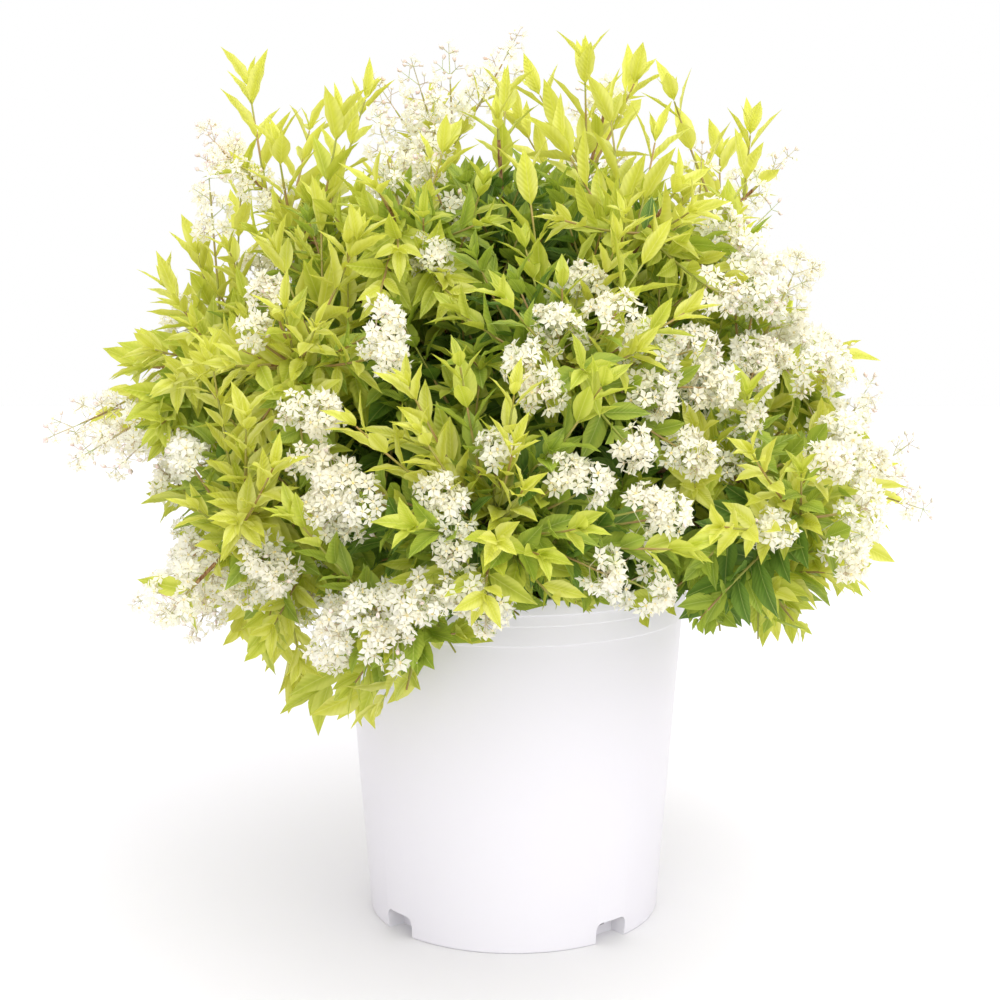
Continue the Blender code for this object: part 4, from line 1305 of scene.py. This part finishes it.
# The tiers of a panicle: how far up it, how many branchlets, their length, the flowers on each and the share in bud
Branchlets = namedtuple("Branchlets", "up count length flowers in_bud")
ROUND_LENGTH = 0.030
ROUND_PANICLE = (
    Branchlets(0.00, 3, 0.0150, 6, 0.03),
    Branchlets(0.38, 3, 0.0140, 6, 0.03),
    Branchlets(0.72, 3, 0.0100, 6, 0.06),
    Branchlets(1.00, 1, 0.0010, 6, 0.15),
)
TALL_LENGTH = 0.056
TALL_PANICLE = (
    Branchlets(0.00, 3, 0.0125, 6, 0.05),
    Branchlets(0.26, 3, 0.0110, 5, 0.08),
    Branchlets(0.50, 2, 0.0095, 5, 0.15),
    Branchlets(0.74, 2, 0.0075, 4, 0.50),
    Branchlets(1.00, 1, 0.0010, 5, 0.75),
)
ROUND_SIZES = (0.62, 1.14)
TALL_SIZES = (0.85, 1.12)
TALL_OVER = 0.47
TALL_SHARE = 0.6
PANICLE_BACK = 0.62
BRANCHLET_ANGLE = 60.0
BRANCHLET_TURNS = 25
BRANCHLET_LENGTHS = (0.65, 1.35)
BRANCHLETS_MISSING = 0.14


def star_form(cup):
    """A flower a unit wide that faces +Z: five pointed petals, each keeled along its middle, cupped by this much."""
    points, faces = [], []
    for k in range(5):
        turn = math.tau * k / 5
        out, side = Vector((math.cos(turn), math.sin(turn), 0)), Vector((-math.sin(turn), math.cos(turn), 0))
        base = len(points)
        points += [
            out * 0.03,
            out * 0.27 - side * 0.150 + Vector((0, 0, cup * 0.24 + 0.05)),
            out * 0.27 + side * 0.150 + Vector((0, 0, cup * 0.24 + 0.05)),
            out * 0.52 + Vector((0, 0, cup * 0.60)),
        ]
        faces += [(base, base + 3, base + 1), (base, base + 2, base + 3)]
    return points, faces


def eye_form():
    """The stamens in a flower a unit wide, as one low cone."""
    points = [Vector((0, 0, 0.17))]
    for k in range(5):
        turn = math.tau * (k + 0.5) / 5
        points.append(Vector((0.10 * math.cos(turn), 0.10 * math.sin(turn), 0.03)))
    return points, [(0, 1 + k, 1 + (k + 1) % 5) for k in range(5)]


def bud_form():
    """A closed bud a unit long, along +Z."""
    points = [(0, 0, 0)]
    for height, wide in ((0.30, 0.26), (0.62, 0.34)):
        for k in range(4):
            turn = math.tau * k / 4
            points.append((wide * math.cos(turn), wide * math.sin(turn), height))
    return [*points, (0, 0, 1.0)], spindle(4)


stars, buds, stalks = [], [], []
for shoot in shoots:
    if not shoot.flowers:
        continue
    chance = random.Random(round(1e6 * (shoot.foot.x + 3 * shoot.foot.y + 7 * shoot.foot.z)))
    axis = shoot.along(1)
    tall = shoot.strong or (not shoot.head_size and shoot.at(1).z > TALL_OVER and chance.random() < TALL_SHARE)
    length, panicle, sizes = (
        (TALL_LENGTH, TALL_PANICLE, TALL_SIZES) if tall else (ROUND_LENGTH, ROUND_PANICLE, ROUND_SIZES)
    )
    size = shoot.head_size or chance.uniform(*sizes)
    foot = shoot.at(1) - axis * (length * size * PANICLE_BACK)
    across = Quaternion(axis, chance.uniform(0, math.tau)) @ axis.orthogonal().normalized()
    stalks.append([(foot, AXIS_RADII[0]), (foot + axis * (length * size), AXIS_RADII[1])])
    for tier, row in enumerate(panicle):
        start = foot + axis * (length * size * row.up)
        for branchlet in range(row.count):
            if row.count > 1 and chance.random() < BRANCHLETS_MISSING:
                continue
            turn = 360 * branchlet / row.count + 90 * tier + chance.uniform(-BRANCHLET_TURNS, BRANCHLET_TURNS)
            around = Quaternion(axis, math.radians(turn)) @ across
            lean = math.radians(BRANCHLET_ANGLE * chance.uniform(0.75, 1.25)) if row.count > 1 else 0.0
            way = (axis * math.cos(lean) + around * math.sin(lean)).normalized()
            end = start + way * (row.length * size * chance.uniform(*BRANCHLET_LENGTHS))
            if not clear_of_pot(end):
                continue
            stalks.append([(start, BRANCHLET_RADIUS), (end, STALK_RADIUS)])
            for k in range(max(3, round(row.flowers * min(1.0, size + 0.05)))):
                open_out = math.radians(0 if k == 0 else chance.uniform(*FLOWER_ANGLES))
                turn = math.tau * k / max(1, row.flowers - 1) + chance.uniform(-FLOWER_WOBBLE, FLOWER_WOBBLE)
                spin = Quaternion(way, turn)
                look = way * math.cos(open_out) + (spin @ way.orthogonal().normalized()) * math.sin(open_out)
                place = end + look * (FLOWER_STALK * chance.uniform(0.8, 1.25))
                by_chance = Vector([chance.uniform(-FLOWER_WOBBLE, FLOWER_WOBBLE) for _ in range(3)])
                look = (look + by_chance).normalized()
                turn = look.to_track_quat("Z", "Y") @ Quaternion((0, 0, 1), chance.uniform(0, math.tau))
                stalks.append([(end, STALK_RADIUS), (place, STALK_RADIUS)])
                if chance.random() < row.in_bud:
                    buds.append((place, turn, chance.uniform(*BUD_SIZES), 0))
                else:
                    stars.append((place, turn, chance.uniform(*FLOWER_SIZES), chance.randrange(len(PETAL_CUPS))))

# Petals: thin and matt, white with a breath of cream, and lit through from behind
petal_skin, tree, shader = finish("white_petal", "#FCF9EE", 0.75)
patchy(tree, shader, 30.0, 2.0, ((0.35, "#FFFEF5"), (0.70, "#FBF6E3")))
lit_through(tree, shader, PETAL_LETS_THROUGH, "#FFFEF0")
petals = strewn("petals", [star_form(cup) for cup in PETAL_CUPS], stars, FLOWER_WIDTH, 0.05, 21, petal_skin)
# Stamens: white stalks with pollen on their tips, which read as a straw yellow eye
pollen, tree, shader = finish("pollen_and_stamens", "#EFE3AC", 0.9)
patchy(tree, shader, 420.0, 1.0, ((0.35, "#F8F3DC"), (0.70, "#E6D283")))
eyes = strewn("stamens", [eye_form()], stars, FLOWER_WIDTH, 0.05, 21, pollen)
# Buds: closed petals, white with a flush of pink from the stalk
bud_skin, tree, shader = finish("closed_bud", "#F3E6DC", 0.7)
patchy(tree, shader, 260.0, 1.0, ((0.35, "#FAF5EC"), (0.70, "#EACFC4")))
closed = strewn("flower_buds", [bud_form()], buds, BUD_LENGTH, 0.1, 23, bud_skin)
# Stalks: thin and downy, pale green with a flush of brown
stalk_skin, tree, shader = finish("downy_stalk", "#CDCAA0", 0.7)
patchy(tree, shader, 60.0, 2.0, ((0.38, "#C4CE98"), (0.64, "#D8C2AA")))
patchy(tree, shader, 2600.0, 1.0, relief=(0.3, 0.0002))
stems = limbs("flower_stalks", stalks, 3, 0.0, 100.0, stalk_skin)
smooth(closed)
for piece in (petals, eyes, closed, stems):
    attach(piece, "root")
